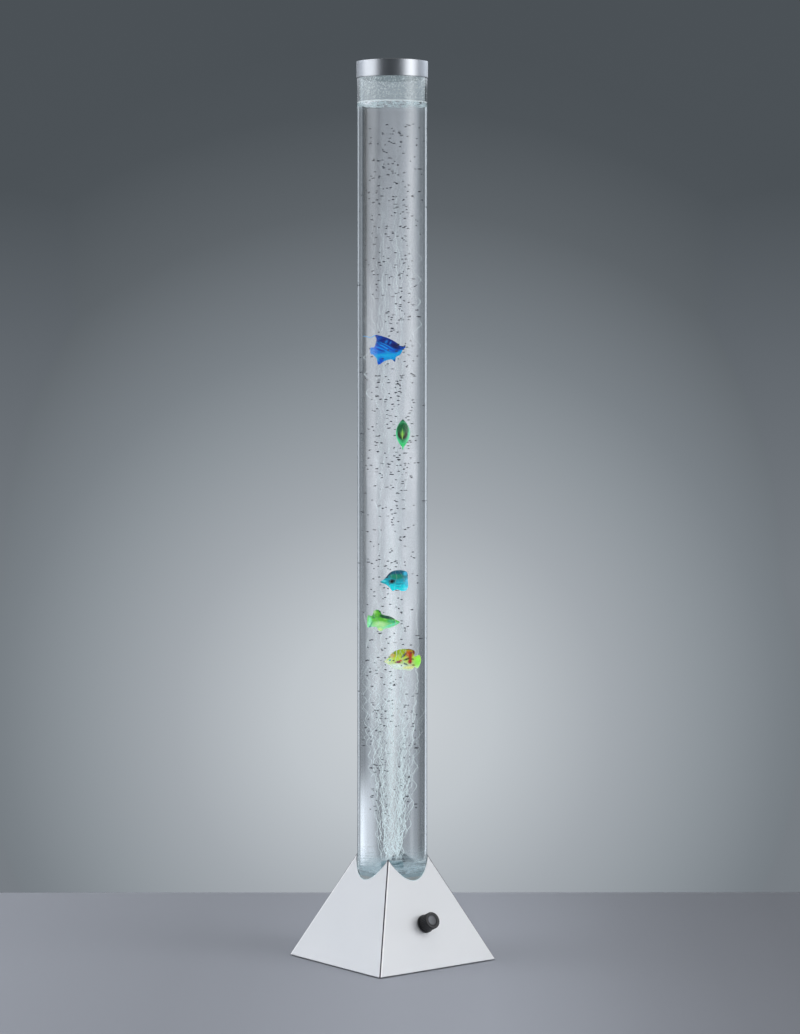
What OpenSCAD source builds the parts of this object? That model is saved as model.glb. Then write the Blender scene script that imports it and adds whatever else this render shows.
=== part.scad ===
// Bubble tube floor lamp: a clear tube of water stands in a four-sided metal foot, and plastic fish drift
// among its rising bubbles. The foot holds an air pump, a ring of lights and a dimmer.
// The origin lies on the floor under the tube's centre line, +Z is up, and the knob's face looks to -Y.

/* [Foot] */
// Width of the foot's cover along its lower edge
cover_side = 210; // [205:1:230]
// Height above the lower edge at which the four faces would meet
cover_apex_h = 224.5; // [215:0.5:245]
// Thickness of the cover's steel sheet
cover_t = 1.2; // [0.8:0.1:1.5]
// Gap between the floor and the cover's lower edge
cover_lift = 1.5; // [1:0.5:2.5]
// Thickness of the steel base plate
plate_t = 3; // [2:0.5:4]
// Height of the rubber feet under the base plate
foot_h = 4; // [3.5:0.5:6]
// Diameter of the rubber feet
foot_d = 20; // [14:1:26]

/* [Tube] */
// Outside diameter of the clear tube
tube_d = 100; // [94:1:103]
// Wall of the clear tube
tube_wall = 3; // [2:0.5:4]
// Length of the clear tube
tube_len = 1180; // [1150:10:1400]
// Thickness of the clear disc that closes the tube
disc_t = 5; // [4:0.5:6]
// Height of that disc above the tube's lower end
disc_lift = 25; // [23:1:30]
// Wall of the socket around the tube's lower end
socket_wall = 3; // [2:0.5:3.5]
// Wall of the white ring that carries the disc inside the tube's lower end
ring_wall = 2.5; // [2:0.5:4]
// Depth to which the tube stands in its socket
socket_grip = 10; // [6:1:14]
// Thickness of the socket's floor
socket_floor_t = 4; // [3:0.5:5]

/* [Cap] */
// Height of the metal cap
cap_h = 24; // [16:1:30]
// Wall of the cap's skirt
cap_wall = 0.6; // [0.5:0.1:1]
// Thickness of the cap's top
cap_top_t = 1; // [0.7:0.1:1.5]
// Thickness of the liner's flange, which rests on the tube's rim
liner_flange_t = 1.5; // [1:0.1:2]
// Depth to which the liner's plug reaches into the tube
liner_depth = 10; // [6:1:14]
// Wall of the liner's plug
liner_wall = 2; // [1.5:0.5:3]

/* [Knob] */
// Largest diameter of the knob
knob_d = 26; // [24:1:30]
// Length of the knob
knob_len = 19.4; // [18:0.2:22]
// Height of the knob's centre above the floor, on its face
knob_h = 60; // [55:1:65]
// Sideways place of the knob's centre on its face
knob_shift = -3; // [-8:1:8]
// Diameter of the dimmer's shaft
shaft_d = 6; // [5:0.5:6]

/* [Cord inlet] */
// Bore of the cord gland
gland_bore_d = 7; // [5:0.5:7.5]
// Height of the gland above the floor, on the rear face
gland_place_h = 26; // [24:1:34]

/* [Air line] */
// Outside diameter of the air hose
hose_d = 6; // [5:0.5:7]
// Bore of the air hose
hose_bore_d = 4; // [3.5:0.1:4.2]
// Radius of the hose's bend, along its middle
hose_bend_r = 24; // [20:1:26]
// Diameter of the air stone
stone_d = 24; // [20:1:40]
// Height of the air stone
stone_h = 9; // [7:1:16]
// Length of the pump's case
pump_len = 46; // [46:1:48]
// Width of the pump's case
pump_w = 40; // [38:1:42]
// Height of the pump's case without its lid
pump_h = 28; // [28:1:34]
// Wall of the pump's case
pump_wall = 2; // [1.5:0.5:2]

/* [Lights] */
// Number of lights on the board
light_count = 12; // [8:1:16]
// Side of one light
light_side = 5; // [3.5:0.5:5]
// Diameter of the light board
light_board_d = 80; // [76:1:84]
// Thickness of the circuit boards
board_t = 1.6; // [1:0.2:2]

/* [Fish] */
// Height of the blue fish above the floor
fish_blue_h = 870; // [852:0.5:900]
// Height of the green fish above the floor
fish_green_h = 749.8; // [733:0.1:773]
// Height of the cyan fish above the floor
fish_cyan_h = 541.4; // [538:0.1:564]
// Height of the lime fish above the floor
fish_lime_h = 484.5; // [481:0.1:487]
// Height of the yellow fish above the floor
fish_yellow_h = 428.2; // [405:0.1:430]
// Length of the blue fish
fish_blue_len = 39.6; // [34:0.2:42]
// Length of the green fish
fish_green_len = 44.3; // [40:0.1:46]
// Length of the cyan fish
fish_cyan_len = 30.7; // [26:0.1:32]
// Length of the lime fish
fish_lime_len = 35.8; // [30:0.2:36]
// Length of the yellow fish
fish_yellow_len = 40.4; // [34:0.2:42]

/* [Hidden] */

// Facets on round pieces: large ones, small ones and bends
fine = 96;
small = 32;
// Overrun of every cut past the face that it opens
cut = 0.5;
// Clearance around a screw's thread, and around a loose hole's screw
thread_gap = 0.05;
screw_gap = 0.25;
// Clearance of a shaft or pin that turns in its bore
running_gap = 0.05;
// Clearance of pieces that are pushed or glued together
push_gap = 0.05;
// Half length and half width of the cross in a screw head, as shares of the head's radius
cross_len_share = 0.6;
cross_w_share = 0.12;
// Clearance of faces that pass each other
pass_gap = 0.3;

// Faces of the cover: half widths, slope and the sheet's thickness measured along the floor
cover_half = cover_side / 2;
face_angle = atan(cover_apex_h / cover_half);
cover_skin = cover_t / sin(face_angle);
cover_inner_apex_h = cover_apex_h * (cover_half - cover_skin) / cover_half;
function half_at(z) = cover_half * (1 - (z - cover_lift) / cover_apex_h);
function inner_half_at(z) = half_at(z) - cover_skin;
// Clearance of the tube in the cover's round hole
cover_hole_gap = 0.5;
cover_hole_r = tube_d / 2 + cover_hole_gap;
// Welded tabs that take the base plate's screws
tab_w = 24;
tab_reach = 14;

// Base plate and its screws
plate_top = foot_h + plate_t;
plate_gap = 0.5;
plate_half = inner_half_at(plate_top) - plate_gap;
tab_hole_at = inner_half_at(plate_top) - tab_reach / 2;
plate_screw_r = 1.45;
plate_screw_tip = 3;
plate_screw_head_r = 2.75;
plate_screw_head_h = 1.8;
foot_at = plate_half - foot_d / 2 - foot_h;
foot_peg_r = 3;
vent_count = 5;
vent_w = 3;
vent_len = 26;
vent_step = 7;

// Socket: as low in the foot as its collar fits between the faces
tube_r = tube_d / 2;
bore_r = tube_r - tube_wall;
socket_gap = 0.8;
socket_r = tube_r + pass_gap + socket_wall;
socket_top_z = cover_lift + cover_apex_h * (1 - (socket_r + cover_skin + socket_gap) / cover_half);
tube_z = socket_top_z - socket_grip;
socket_floor_z = tube_z - socket_floor_t;
socket_hole_r = 12;
leg_r = 6;
leg_top_r = 8;
leg_inset = 0.6;
leg_circle_r = socket_r - leg_top_r - leg_inset;
leg_at = leg_circle_r * sqrt(1 / 2);
leg_screw_r = 2;
leg_screw_grip = 12;
leg_screw_head_r = 3.8;
leg_screw_head_h = 2.3;

// Disc, nozzle and air stone
disc_z = tube_z + disc_lift;
disc_top = disc_z + disc_t;
seal_t = 1;
nozzle_bore_r = 1.2;
nozzle_r = 5;
nozzle_flange_r = 9;
nozzle_flange_t = 2.5;
nozzle_spigot_r = 3;
nozzle_spigot_h = 4;
nozzle_nut_t = 4;
nozzle_nut_r = 9.2;
nozzle_end = 1;
barb_len = 10;
barb_r = hose_bore_d / 2 - push_gap;
stone_z = disc_top + seal_t + nozzle_flange_t;
stone_edge = 1.5;
stone_hole_h = nozzle_spigot_h + stone_edge;

// Light board
light_boss_r = 4;
light_boss_h = 4;
light_boss_circle_r = 34;
light_hole_r = 6;
light_circle_share = 0.64;
light_h = 1.6;
light_screw_r = 1.2;
light_screw_grip = 3;
light_screw_head_r = 2.4;
light_screw_head_h = 1.4;
light_board_z = tube_z + light_boss_h;

// Cap and liner
tube_top = tube_z + tube_len;
cap_gap = 0.25;
cap_r = tube_r + cap_gap + cap_wall;
cap_z = tube_top + liner_flange_t + cap_top_t;
cap_edge = 0.5;
liner_plug_r = bore_r - pass_gap;
liner_vent_r = 2;

// Dimmer and knob, measured outwards from the face
knob_gap = 0.6;
knob_skirt_t = 3;
knob_groove_w = 0.8;
knob_waist_share = 0.885;
knob_recess_share = 0.56;
knob_recess_h = 1.6;
knob_edge = 0.6;
knob_flutes = 28;
knob_flute_r = 0.7;
knob_front_wall = 2.4;
bushing_share = 0.58;
bushing_r = shaft_d * bushing_share;
bushing_len = 5;
dimmer_nut_r = 5.8;
dimmer_nut_t = 2;
dimmer_washer_r = 6.5;
dimmer_washer_t = 0.5;
dimmer_r = 8.5;
dimmer_h = 9;
dimmer_floor = 3;
lug_w = 1.5;
lug_len = 3.5;
knob_cave_h = bushing_len - knob_gap + pass_gap + pass_gap;
knob_cave_r = 8;

// Cord gland, measured outwards from the rear face
gland_wall = 2.4;
gland_flange_w = 2.1;
gland_nut_w = 2.8;
gland_r = gland_bore_d / 2 + gland_wall;
gland_flange_r = gland_r + gland_flange_w;
gland_flange_t = 3;
gland_nose = 3;
gland_neck = 8;
gland_nut_t = 4;
gland_nut_r = gland_r + gland_nut_w;

// Pump: its own axes start at the middle of the case's rear edge, underneath
nipple_len = 8;
nipple_root_r = 2.9;
damper_h = 4;
damper_r = 4;
damper_peg_r = 2;
damper_inset = 6;
pump_front_x = -hose_bend_r - nipple_len - pump_wall;
pump_z = plate_top + damper_h;
lid_t = 2;
boss_r = 3;
lid_screw_r = 1.2;
lid_screw_grip = 6;
lid_screw_head_r = 2.3;
lid_screw_head_h = 1.4;
boss_inset = pump_wall + boss_r - push_gap;
filter_r = 5;
filter_t = 1;
air_bore_r = 1.2;
block_x = 27;
block_w = 18;
block_h = 9;
cup_from_block = 8;
cup_x = block_x + cup_from_block;
cup_seat_r = 6.8;
cup_seat_h = 1.5;
cup_rim_r = 8.4;
cup_rim_h = 3;
cup_hub_r = 3;
cup_hub_h = 3.5;
cup_skin = 1.2;
flap_r = 2.2;
flap_t = 0.5;
flap_at = 2.8;
block_top = pump_wall + block_h;
outlet_z = pump_wall + block_h / 2;
pivot_x = 5;
pivot_rise = 10.5;
pivot_z = block_top + pivot_rise;
pivot_pin_r = 1.5;
eye_r = 2.6;
eye_half = 4.7;
post_t = 3;
post_w = 5.6;
pin_half = eye_half + pass_gap + post_t;
lever_t = 2;
lever_w = 8;
lever_over = 5;
lever_end_x = cup_x + lever_over;
magnet_x = 8;
magnet_len = 18;
magnet_t = 3;
arm_screw_r = 1;
arm_screw_grip = 3;
core_x = magnet_x;
core_leg = 4;
core_w = 12;
core_z = 6;
magnet_air = 1.5;
core_top = pivot_z - lever_t / 2 - magnet_t - magnet_air;
bobbin_wall = 1;
bobbin_rise = 5.3;
bobbin_half_w = 9.5;
coil_inset = 0.5;

// Check valve and the two hoses
valve_len = 22;
valve_r = 7;
valve_bore_r = 4.5;
valve_end = 5;
valve_barb = 8;
valve_drop = 6;
valve_z = socket_floor_z - valve_drop - valve_len;
bill_t = 1;
bill_r = 2.5;
bill_len = 7;
hose_end_gap = 0.3;
outlet_h = pump_z + outlet_z;
nozzle_low_z = disc_z - nozzle_nut_t - nozzle_end;

// Control board: its own axes start at its corner nearest to the knob and to the middle of the foot
control_len = 46;
control_w = 44;
control_x = 34;
standoff_h = 6;
standoff_r = 3;
standoff_peg_r = 1.9;
control_inset = 4;
control_screw_r = 1.2;
control_screw_grip = 4;
control_screw_head_r = 2.4;
control_screw_head_h = 1.4;
control_z = plate_top + standoff_h;
control_top = control_z + board_t;
plug_w = 6;
plug_h = 6;
terminal_w = 16;
terminal_d = 9;
terminal_h = 10;
terminal_hole_r = 1.6;
capacitor_r = 4.5;
capacitor_h = 13;
chip_w = 8;
chip_h = 2;
choke_r = 6;
choke_h = 8;
// Middles of the three lead plugs, as shares of the board's length and width
plug_share = [[0.14, 0.5], [0.3, 0.86], [0.34, 0.14]];
// Middles of the capacitors, the chip and the choke, as shares of the board's length and width
capacitor_share = [[0.62, 0.2], [0.86, 0.3]];
chip_share = [0.5, 0.5];
choke_share = [0.6, 0.76];
terminal_share = [0.88, 0.62];

// Leads: thickness, and the points that each passes, in row coordinates
lead_r = 1.3;
lead_sides = 8;
lead_steps = 4;
plug_top = control_top + plug_h;
function plug_at(i) = [
    control_x + control_len * plug_share[i][0],
    control_w * (plug_share[i][1] - 0.5),
    plug_top
];
// Way of the lights' lead from its plug to the socket's hole, as shares of the way across and up
led_lead_share = [[0, 0.18], [0.08, 0.38], [0.43, 0.54], [0.78, 0.73], [0.95, 0.91]];
led_lead_end_x = (light_hole_r + socket_hole_r) / 2;
led_lead_path = concat(
    [plug_at(0)],
    [for (share = led_lead_share) [
        plug_at(0)[0] + (led_lead_end_x - plug_at(0)[0]) * share[0],
        0,
        plug_top + (socket_floor_z - plug_top) * share[1]
    ]],
    [[led_lead_end_x, 0, socket_floor_z], [led_lead_end_x, 0, light_board_z]]
);
pump_lead_y = 13;
pump_lead_z = 31;
pump_lead_way = [[48, 15.5, 31], [40, 15, 37], [20, 13, 34], [-14, 13, 31]];
pump_lead_path = concat([plug_at(1)], pump_lead_way, [[pump_front_x, pump_lead_y, pump_lead_z]]);
lead_past_leg = 17.4;
lead_round_leg = [2.4, 20.4];
dimmer_lead_way = [
    [50, -17, 32],
    [leg_at + lead_past_leg, -leg_at, 42],
    [leg_at + lead_round_leg[0], -leg_at - lead_round_leg[1], 50]
];

// Fish: the photograph looks at the lamp along this azimuth, and each fish is placed across that view
view_turn = -38.2;
fish_fin_t = 1;
// Side places across the view and headings, where 0 is to the right
fish_blue_side = -5.2;
fish_blue_turn = 12;
fish_green_side = 11.5;
fish_cyan_side = 2.4;
fish_cyan_turn = 170;
fish_lime_side = -9.2;
fish_lime_turn = -10;
fish_yellow_side = 11.5;
fish_yellow_turn = 186;
// Outlines: points from the nose back over the top, as shares of the fish's length
blue_share = [
    [0.5, 0.112], [0.34, 0.152], [0.25, 0.26], [0.09, 0.38], [-0.1, 0.475], [-0.345, 0.534],
    [-0.31, 0.37], [-0.375, 0.11], [-0.5, 0.069], [-0.487, -0.155], [-0.42, -0.175],
    [-0.31, -0.32], [-0.255, -0.534], [-0.08, -0.41], [0.11, -0.345], [0.21, -0.43],
    [0.24, -0.26], [0.352, -0.172], [0.43, 0.01]
];
cyan_share = [
    [0.5, -0.06], [0.37, 0.056], [0.25, 0.24], [0.13, 0.4], [-0.05, 0.478], [-0.3, 0.478],
    [-0.47, 0.37], [-0.484, 0.03], [-0.5, -0.256], [-0.42, -0.456], [-0.25, -0.478],
    [-0.1, -0.41], [0.06, -0.478], [0.16, -0.344], [0.29, -0.189], [0.42, -0.125]
];
lime_share = [
    [0.5, -0.053], [0.38, 0.03], [0.2, 0.165], [0.03, 0.213], [-0.06, 0.26], [-0.1, 0.37],
    [-0.19, 0.432], [-0.29, 0.38], [-0.35, 0.18], [-0.47, 0.185], [-0.5, -0.044],
    [-0.486, -0.29], [-0.38, -0.265], [-0.22, -0.27], [-0.15, -0.406], [-0.06, -0.42],
    [0.03, -0.33], [0.19, -0.29], [0.36, -0.196]
];
yellow_share = [
    [0.5, -0.056], [0.41, 0.05], [0.31, 0.223], [0.19, 0.33], [0.06, 0.378], [-0.1, 0.39],
    [-0.25, 0.36], [-0.32, 0.27], [-0.29, 0.06], [-0.34, 0.03], [-0.44, 0.164],
    [-0.495, 0.05], [-0.487, -0.12], [-0.4, -0.309], [-0.32, -0.22], [-0.27, -0.33],
    [-0.16, -0.378], [-0.04, -0.35], [0.09, -0.335], [0.18, -0.32], [0.29, -0.25], [0.42, -0.12]
];
green_share = [
    [0.5, 0.035], [0.39, 0.08], [0.26, 0.2], [0.1, 0.26], [-0.1, 0.24], [-0.26, 0.13],
    [-0.36, 0.1], [-0.5, 0.17], [-0.46, 0], [-0.5, -0.15], [-0.36, -0.08], [-0.2, -0.14],
    [-0.05, -0.2], [0.12, -0.19], [0.3, -0.1], [0.42, -0.03]
];
// Bodies: nose and tail ends, nose and tail heights, half height and half thickness, as shares of the length
blue_body_share = [0.47, -0.4, 0.1, -0.02, 0.26, 0.13];
cyan_body_share = [0.46, -0.4, -0.06, 0.02, 0.34, 0.15];
lime_body_share = [0.48, -0.42, -0.06, -0.05, 0.2, 0.13];
yellow_body_share = [0.48, -0.36, -0.06, -0.04, 0.31, 0.13];
green_body_share = [0.49, -0.42, 0.01, 0, 0.19, 0.16];
body_rings = 9;
body_sides = 10;
outline_steps = 3;

// A point on a smooth curve through b and c, which comes from a and goes on to d
function smooth_point(a, b, c, d, t) =
    b + (c - a) * t / 2 + (a * 2 - b * 5 + c * 4 - d) * t * t / 2 + (b * 3 - a - c * 3 + d) * t * t * t / 2;
// A smooth closed outline through every point of a list
function smooth_loop(points, steps) = let (n = len(points)) [
    for (i = [0:n - 1], s = [0:steps - 1])
        smooth_point(points[(i + n - 1) % n], points[i], points[(i + 1) % n], points[(i + 2) % n], s / steps)
];
// A smooth open path through every point of a list, whose ends run straight on
function smooth_path(points, steps) = let (n = len(points), ends = concat(
    [points[0] * 2 - points[1]], points, [points[n - 1] * 2 - points[n - 2]]
)) concat(
    [for (i = [0:n - 2], s = [0:steps - 1])
        smooth_point(ends[i], ends[i + 1], ends[i + 2], ends[i + 3], s / steps)],
    [points[n - 1]]
);
function unit(v) = v / norm(v);

// Faces that join rings of points into one closed skin, with flat ends
function skin_faces(rings, sides) = concat(
    [[for (k = [0:sides - 1]) k]],
    [for (i = [0:rings - 2], k = [0:sides - 1])
        [i * sides + k, (i + 1) * sides + k, i * sides + (k + 1) % sides]],
    [for (i = [0:rings - 2], k = [0:sides - 1])
        [(i + 1) * sides + k, (i + 1) * sides + (k + 1) % sides, i * sides + (k + 1) % sides]],
    [[for (k = [sides - 1:-1:0]) (rings - 1) * sides + k]]
);

module lead(path, side) {
    points = smooth_path(path, lead_steps);
    n = len(points);
    rings = [for (i = [0:n - 1]) let (
        ahead = unit(points[min(i + 1, n - 1)] - points[max(i - 1, 0)]),
        across = unit(cross(side, ahead)),
        over = cross(ahead, across)
    ) for (k = [0:lead_sides - 1]) let (a = 360 * k / lead_sides)
        points[i] + lead_r * (cos(a) * across + sin(a) * over)];
    polyhedron(points = rings, faces = skin_faces(n, lead_sides), convexity = 4);
}

// Screw with a round head below z = 0 and its shank above, and a cross in the head
module screw(r, length, head_r, head_h) {
    difference() {
        union() {
            cylinder(h = length, r = r, $fn = small);
            translate([0, 0, -head_h]) cylinder(h = head_h, r = head_r, $fn = small);
        }
        for (turn = [0, 90]) rotate([0, 0, turn])
            translate([-head_r * cross_len_share, -head_r * cross_w_share, -head_h - cut])
                cube([2 * head_r * cross_len_share, 2 * head_r * cross_w_share, head_h / 2 + cut]);
    }
}

module tube_of(z, length, outer_r, inner_r, facets = fine) {
    translate([0, 0, z]) difference() {
        cylinder(h = length, r = outer_r, $fn = facets);
        translate([0, 0, -cut]) cylinder(h = length + 2 * cut, r = inner_r, $fn = facets);
    }
}

module four_corners(place) {
    for (x = [-place, place], y = [-place, place]) translate([x, y, 0]) children();
}

module on_front_face(h, shift = 0) {
    translate([shift, -half_at(h), h]) rotate([face_angle, 0, 0]) children();
}

module on_rear_face(h) {
    translate([0, half_at(h), h]) rotate([-face_angle, 0, 0]) children();
}

module at_pump() {
    translate([pump_front_x - pump_len, 0, pump_z]) children();
}

module at_control() {
    translate([control_x, -control_w / 2, 0]) children();
}

// Solid pyramid over the lower edge's height, which can reach a little below it
module pyramid(half, apex_h, drop) {
    foot = half * (1 + drop / apex_h);
    outline = [[-foot, -drop], [foot, -drop], [0, apex_h]];
    translate([0, 0, cover_lift]) intersection() {
        rotate([90, 0, 0]) linear_extrude(height = 2 * foot, center = true) polygon(outline);
        rotate([90, 0, 90]) linear_extrude(height = 2 * foot, center = true) polygon(outline);
    }
}

module base_cover() color("silver") difference() {
    union() {
        difference() {
            pyramid(cover_half, cover_apex_h, 0);
            pyramid(cover_half - cover_skin, cover_inner_apex_h, cut);
        }
        for (turn = [0:90:270]) rotate([0, 0, turn])
            translate([-tab_w / 2, inner_half_at(plate_top) - tab_reach, plate_top])
                cube([tab_w, tab_reach + cover_skin / 2, cover_t]);
    }
    cylinder(h = tube_top, r = cover_hole_r, $fn = fine);
    on_front_face(knob_h, knob_shift) translate([0, 0, -cover_t - cut])
        cylinder(h = cover_t + 2 * cut, r = bushing_r + push_gap, $fn = small);
    on_rear_face(gland_place_h) translate([0, 0, -cover_t - cut])
        cylinder(h = cover_t + 2 * cut, r = gland_r + push_gap, $fn = small);
    for (turn = [0:90:270]) rotate([0, 0, turn]) translate([0, tab_hole_at, plate_top - cut])
        cylinder(h = cover_t + 2 * cut, r = plate_screw_r + thread_gap, $fn = small);
}

module plate_hole(r) {
    translate([0, 0, foot_h - cut]) cylinder(h = plate_t + 2 * cut, r = r, $fn = small);
}

module at_legs() {
    four_corners(leg_at) children();
}

module at_dampers() {
    for (x = [damper_inset, pump_len - damper_inset], y = [-1, 1])
        translate([x, y * (pump_w / 2 - damper_inset), 0]) children();
}

module at_standoffs() {
    for (x = [control_inset, control_len - control_inset], y = [control_inset, control_w - control_inset])
        translate([x, y, 0]) children();
}

module base_plate() color("gray") difference() {
    translate([-plate_half, -plate_half, foot_h]) cube([2 * plate_half, 2 * plate_half, plate_t]);
    for (turn = [0:90:270]) rotate([0, 0, turn]) translate([0, tab_hole_at, 0])
        plate_hole(plate_screw_r + screw_gap);
    at_legs() plate_hole(leg_screw_r + screw_gap);
    four_corners(foot_at) plate_hole(foot_peg_r + push_gap);
    translate([pump_front_x - pump_len, 0, 0]) at_dampers() plate_hole(damper_peg_r + push_gap);
    at_control() at_standoffs() plate_hole(standoff_peg_r + push_gap);
    for (i = [0:vent_count - 1]) translate([(i - (vent_count - 1) / 2) * vent_step, 0, 0]) {
        translate([-vent_w / 2, -vent_len / 2, foot_h - cut]) cube([vent_w, vent_len, plate_t + 2 * cut]);
        for (y = [-vent_len / 2, vent_len / 2]) translate([0, y, 0]) plate_hole(vent_w / 2);
    }
}

module feet() color("#202020") four_corners(foot_at) {
    cylinder(h = foot_h, r = foot_d / 2, $fn = small);
    translate([0, 0, foot_h - cut]) cylinder(h = plate_t + cut, r = foot_peg_r, $fn = small);
}

module plate_screws() color("lightgray") for (turn = [0:90:270]) rotate([0, 0, turn])
    translate([0, tab_hole_at, foot_h])
        screw(plate_screw_r, plate_t + cover_t + plate_screw_tip, plate_screw_head_r, plate_screw_head_h);

module tube_socket() color("whitesmoke") difference() {
    union() {
        translate([0, 0, socket_floor_z]) difference() {
            cylinder(h = socket_floor_t + socket_grip, r = socket_r, $fn = fine);
            translate([0, 0, socket_floor_t])
                cylinder(h = socket_grip + cut, r = tube_r + pass_gap, $fn = fine);
        }
        at_legs() translate([0, 0, plate_top])
            cylinder(h = socket_floor_z - plate_top + cut, r1 = leg_r, r2 = leg_top_r, $fn = small);
        for (turn = [0:90:270]) rotate([0, 0, turn]) translate([light_boss_circle_r, 0, tube_z - cut])
            cylinder(h = light_boss_h + cut, r = light_boss_r, $fn = small);
    }
    translate([0, 0, socket_floor_z - cut])
        cylinder(h = socket_floor_t + 2 * cut, r = socket_hole_r, $fn = small);
    at_legs() translate([0, 0, plate_top - cut])
        cylinder(h = leg_screw_grip + 2 * cut, r = leg_screw_r + thread_gap, $fn = small);
    for (turn = [0:90:270]) rotate([0, 0, turn])
        translate([light_boss_circle_r, 0, light_board_z - light_screw_grip - cut])
            cylinder(h = light_screw_grip + 2 * cut, r = light_screw_r + thread_gap, $fn = small);
}

module socket_screws() color("lightgray") at_legs() translate([0, 0, foot_h])
    screw(leg_screw_r, plate_t + leg_screw_grip, leg_screw_head_r, leg_screw_head_h);

module tube() color("lightcyan", 0.35) tube_of(tube_z, tube_len, tube_r, bore_r);

module tube_floor() color("lightcyan", 0.35)
    tube_of(disc_z, disc_t, bore_r - push_gap, nozzle_r + push_gap);

module floor_ring() color("white")
    tube_of(tube_z, disc_lift, bore_r - push_gap, bore_r - push_gap - ring_wall);

module nozzle_seal() color("#303030") tube_of(disc_top, seal_t, nozzle_flange_r, nozzle_r + push_gap, small);

module air_nozzle() color("white") translate([0, 0, disc_z]) rotate_extrude($fn = small) polygon([
    [nozzle_bore_r, -nozzle_nut_t - nozzle_end - barb_len],
    [barb_r, -nozzle_nut_t - nozzle_end - barb_len],
    [barb_r, -nozzle_nut_t - nozzle_end],
    [nozzle_r, -nozzle_nut_t - nozzle_end],
    [nozzle_r, disc_t + seal_t],
    [nozzle_flange_r, disc_t + seal_t],
    [nozzle_flange_r, disc_t + seal_t + nozzle_flange_t],
    [nozzle_spigot_r, disc_t + seal_t + nozzle_flange_t],
    [nozzle_spigot_r, disc_t + seal_t + nozzle_flange_t + nozzle_spigot_h],
    [nozzle_bore_r, disc_t + seal_t + nozzle_flange_t + nozzle_spigot_h]
]);

module nozzle_nut() color("white") translate([0, 0, disc_z - nozzle_nut_t]) difference() {
    cylinder(h = nozzle_nut_t, r = nozzle_nut_r, $fn = 6);
    translate([0, 0, -cut]) cylinder(h = nozzle_nut_t + 2 * cut, r = nozzle_r + thread_gap, $fn = small);
}

module bubble_diffuser() color("lightblue") translate([0, 0, stone_z]) rotate_extrude($fn = fine) polygon([
    [nozzle_spigot_r + push_gap, 0],
    [stone_d / 2, 0],
    [stone_d / 2, stone_h - stone_edge],
    [stone_d / 2 - stone_edge, stone_h],
    [0, stone_h],
    [0, stone_hole_h],
    [nozzle_spigot_r + push_gap, stone_hole_h]
]);

module led_board() color("white") translate([0, 0, light_board_z]) difference() {
    cylinder(h = board_t, r = light_board_d / 2, $fn = fine);
    translate([0, 0, -cut]) cylinder(h = board_t + 2 * cut, r = light_hole_r, $fn = small);
    for (turn = [0:90:270]) rotate([0, 0, turn]) translate([light_boss_circle_r, 0, -cut])
        cylinder(h = board_t + 2 * cut, r = light_screw_r + screw_gap, $fn = small);
}

module led_chips() color("lemonchiffon") for (i = [0:light_count - 1]) rotate([0, 0, 360 * i / light_count])
    translate([light_circle_share * light_board_d / 2, 0, light_board_z + board_t])
        translate([-light_side / 2, -light_side / 2, 0]) cube([light_side, light_side, light_h]);

module led_board_screws() color("lightgray") for (turn = [0:90:270]) rotate([0, 0, turn])
    translate([light_boss_circle_r, 0, light_board_z + board_t]) rotate([180, 0, 0])
        screw(light_screw_r, board_t + light_screw_grip, light_screw_head_r, light_screw_head_h);

module cap() color("gainsboro") rotate_extrude($fn = fine) polygon([
    [0, cap_z - cap_top_t],
    [tube_r + cap_gap, cap_z - cap_top_t],
    [tube_r + cap_gap, cap_z - cap_h],
    [cap_r, cap_z - cap_h],
    for (i = [0:6]) [cap_r - cap_edge * (1 - cos(15 * i)), cap_z - cap_edge * (1 - sin(15 * i))],
    [0, cap_z]
]);

module cap_liner() color("white") translate([0, 0, tube_top]) difference() {
    union() {
        cylinder(h = liner_flange_t, r = tube_r, $fn = fine);
        translate([0, 0, -liner_depth]) cylinder(h = liner_depth + cut, r = liner_plug_r, $fn = fine);
    }
    translate([0, 0, -liner_depth - cut])
        cylinder(h = liner_depth + cut - liner_wall / 2, r = liner_plug_r - liner_wall, $fn = fine);
    translate([0, 0, -liner_wall])
        cylinder(h = liner_wall + liner_flange_t + cut, r = liner_vent_r, $fn = small);
}

module at_dimmer() {
    on_front_face(knob_h, knob_shift) children();
}

// Profile of the knob from its skirt to the rim of its dished front, with the cave and shaft hole inside
module knob() color("#1c1e20") at_dimmer() {
    top = knob_gap + knob_len;
    edge_r = knob_d / 2;
    waist_r = edge_r * knob_waist_share;
    dish_r = edge_r * knob_recess_share;
    groove_z = knob_gap + knob_skirt_t;
    body_z = groove_z + knob_groove_w;
    difference() {
        rotate_extrude($fn = fine) polygon([
            [knob_cave_r, knob_gap],
            [edge_r, knob_gap],
            [edge_r, groove_z - knob_edge],
            [edge_r - knob_edge, groove_z],
            [waist_r - knob_groove_w, groove_z],
            [waist_r - knob_groove_w, body_z],
            [waist_r, body_z],
            [edge_r, top - knob_edge],
            [edge_r - knob_edge, top],
            [dish_r, top],
            [dish_r - knob_edge / 2, top - knob_recess_h * 0.6],
            [dish_r / 2, top - knob_recess_h * 0.9],
            [0, top - knob_recess_h],
            [0, top - knob_recess_h - knob_front_wall],
            [shaft_d / 2 + push_gap, top - knob_recess_h - knob_front_wall],
            [shaft_d / 2 + push_gap, knob_gap + knob_cave_h],
            [knob_cave_r, knob_gap + knob_cave_h]
        ]);
        for (i = [0:knob_flutes - 1]) rotate([0, 0, 360 * i / knob_flutes])
            translate([waist_r + knob_flute_r * 0.35, 0, body_z])
                rotate([0, atan((edge_r - waist_r) / (top - body_z)), 0])
                    cylinder(h = top - body_z - 2 * knob_edge, r = knob_flute_r, $fn = 16);
    }
}

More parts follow.
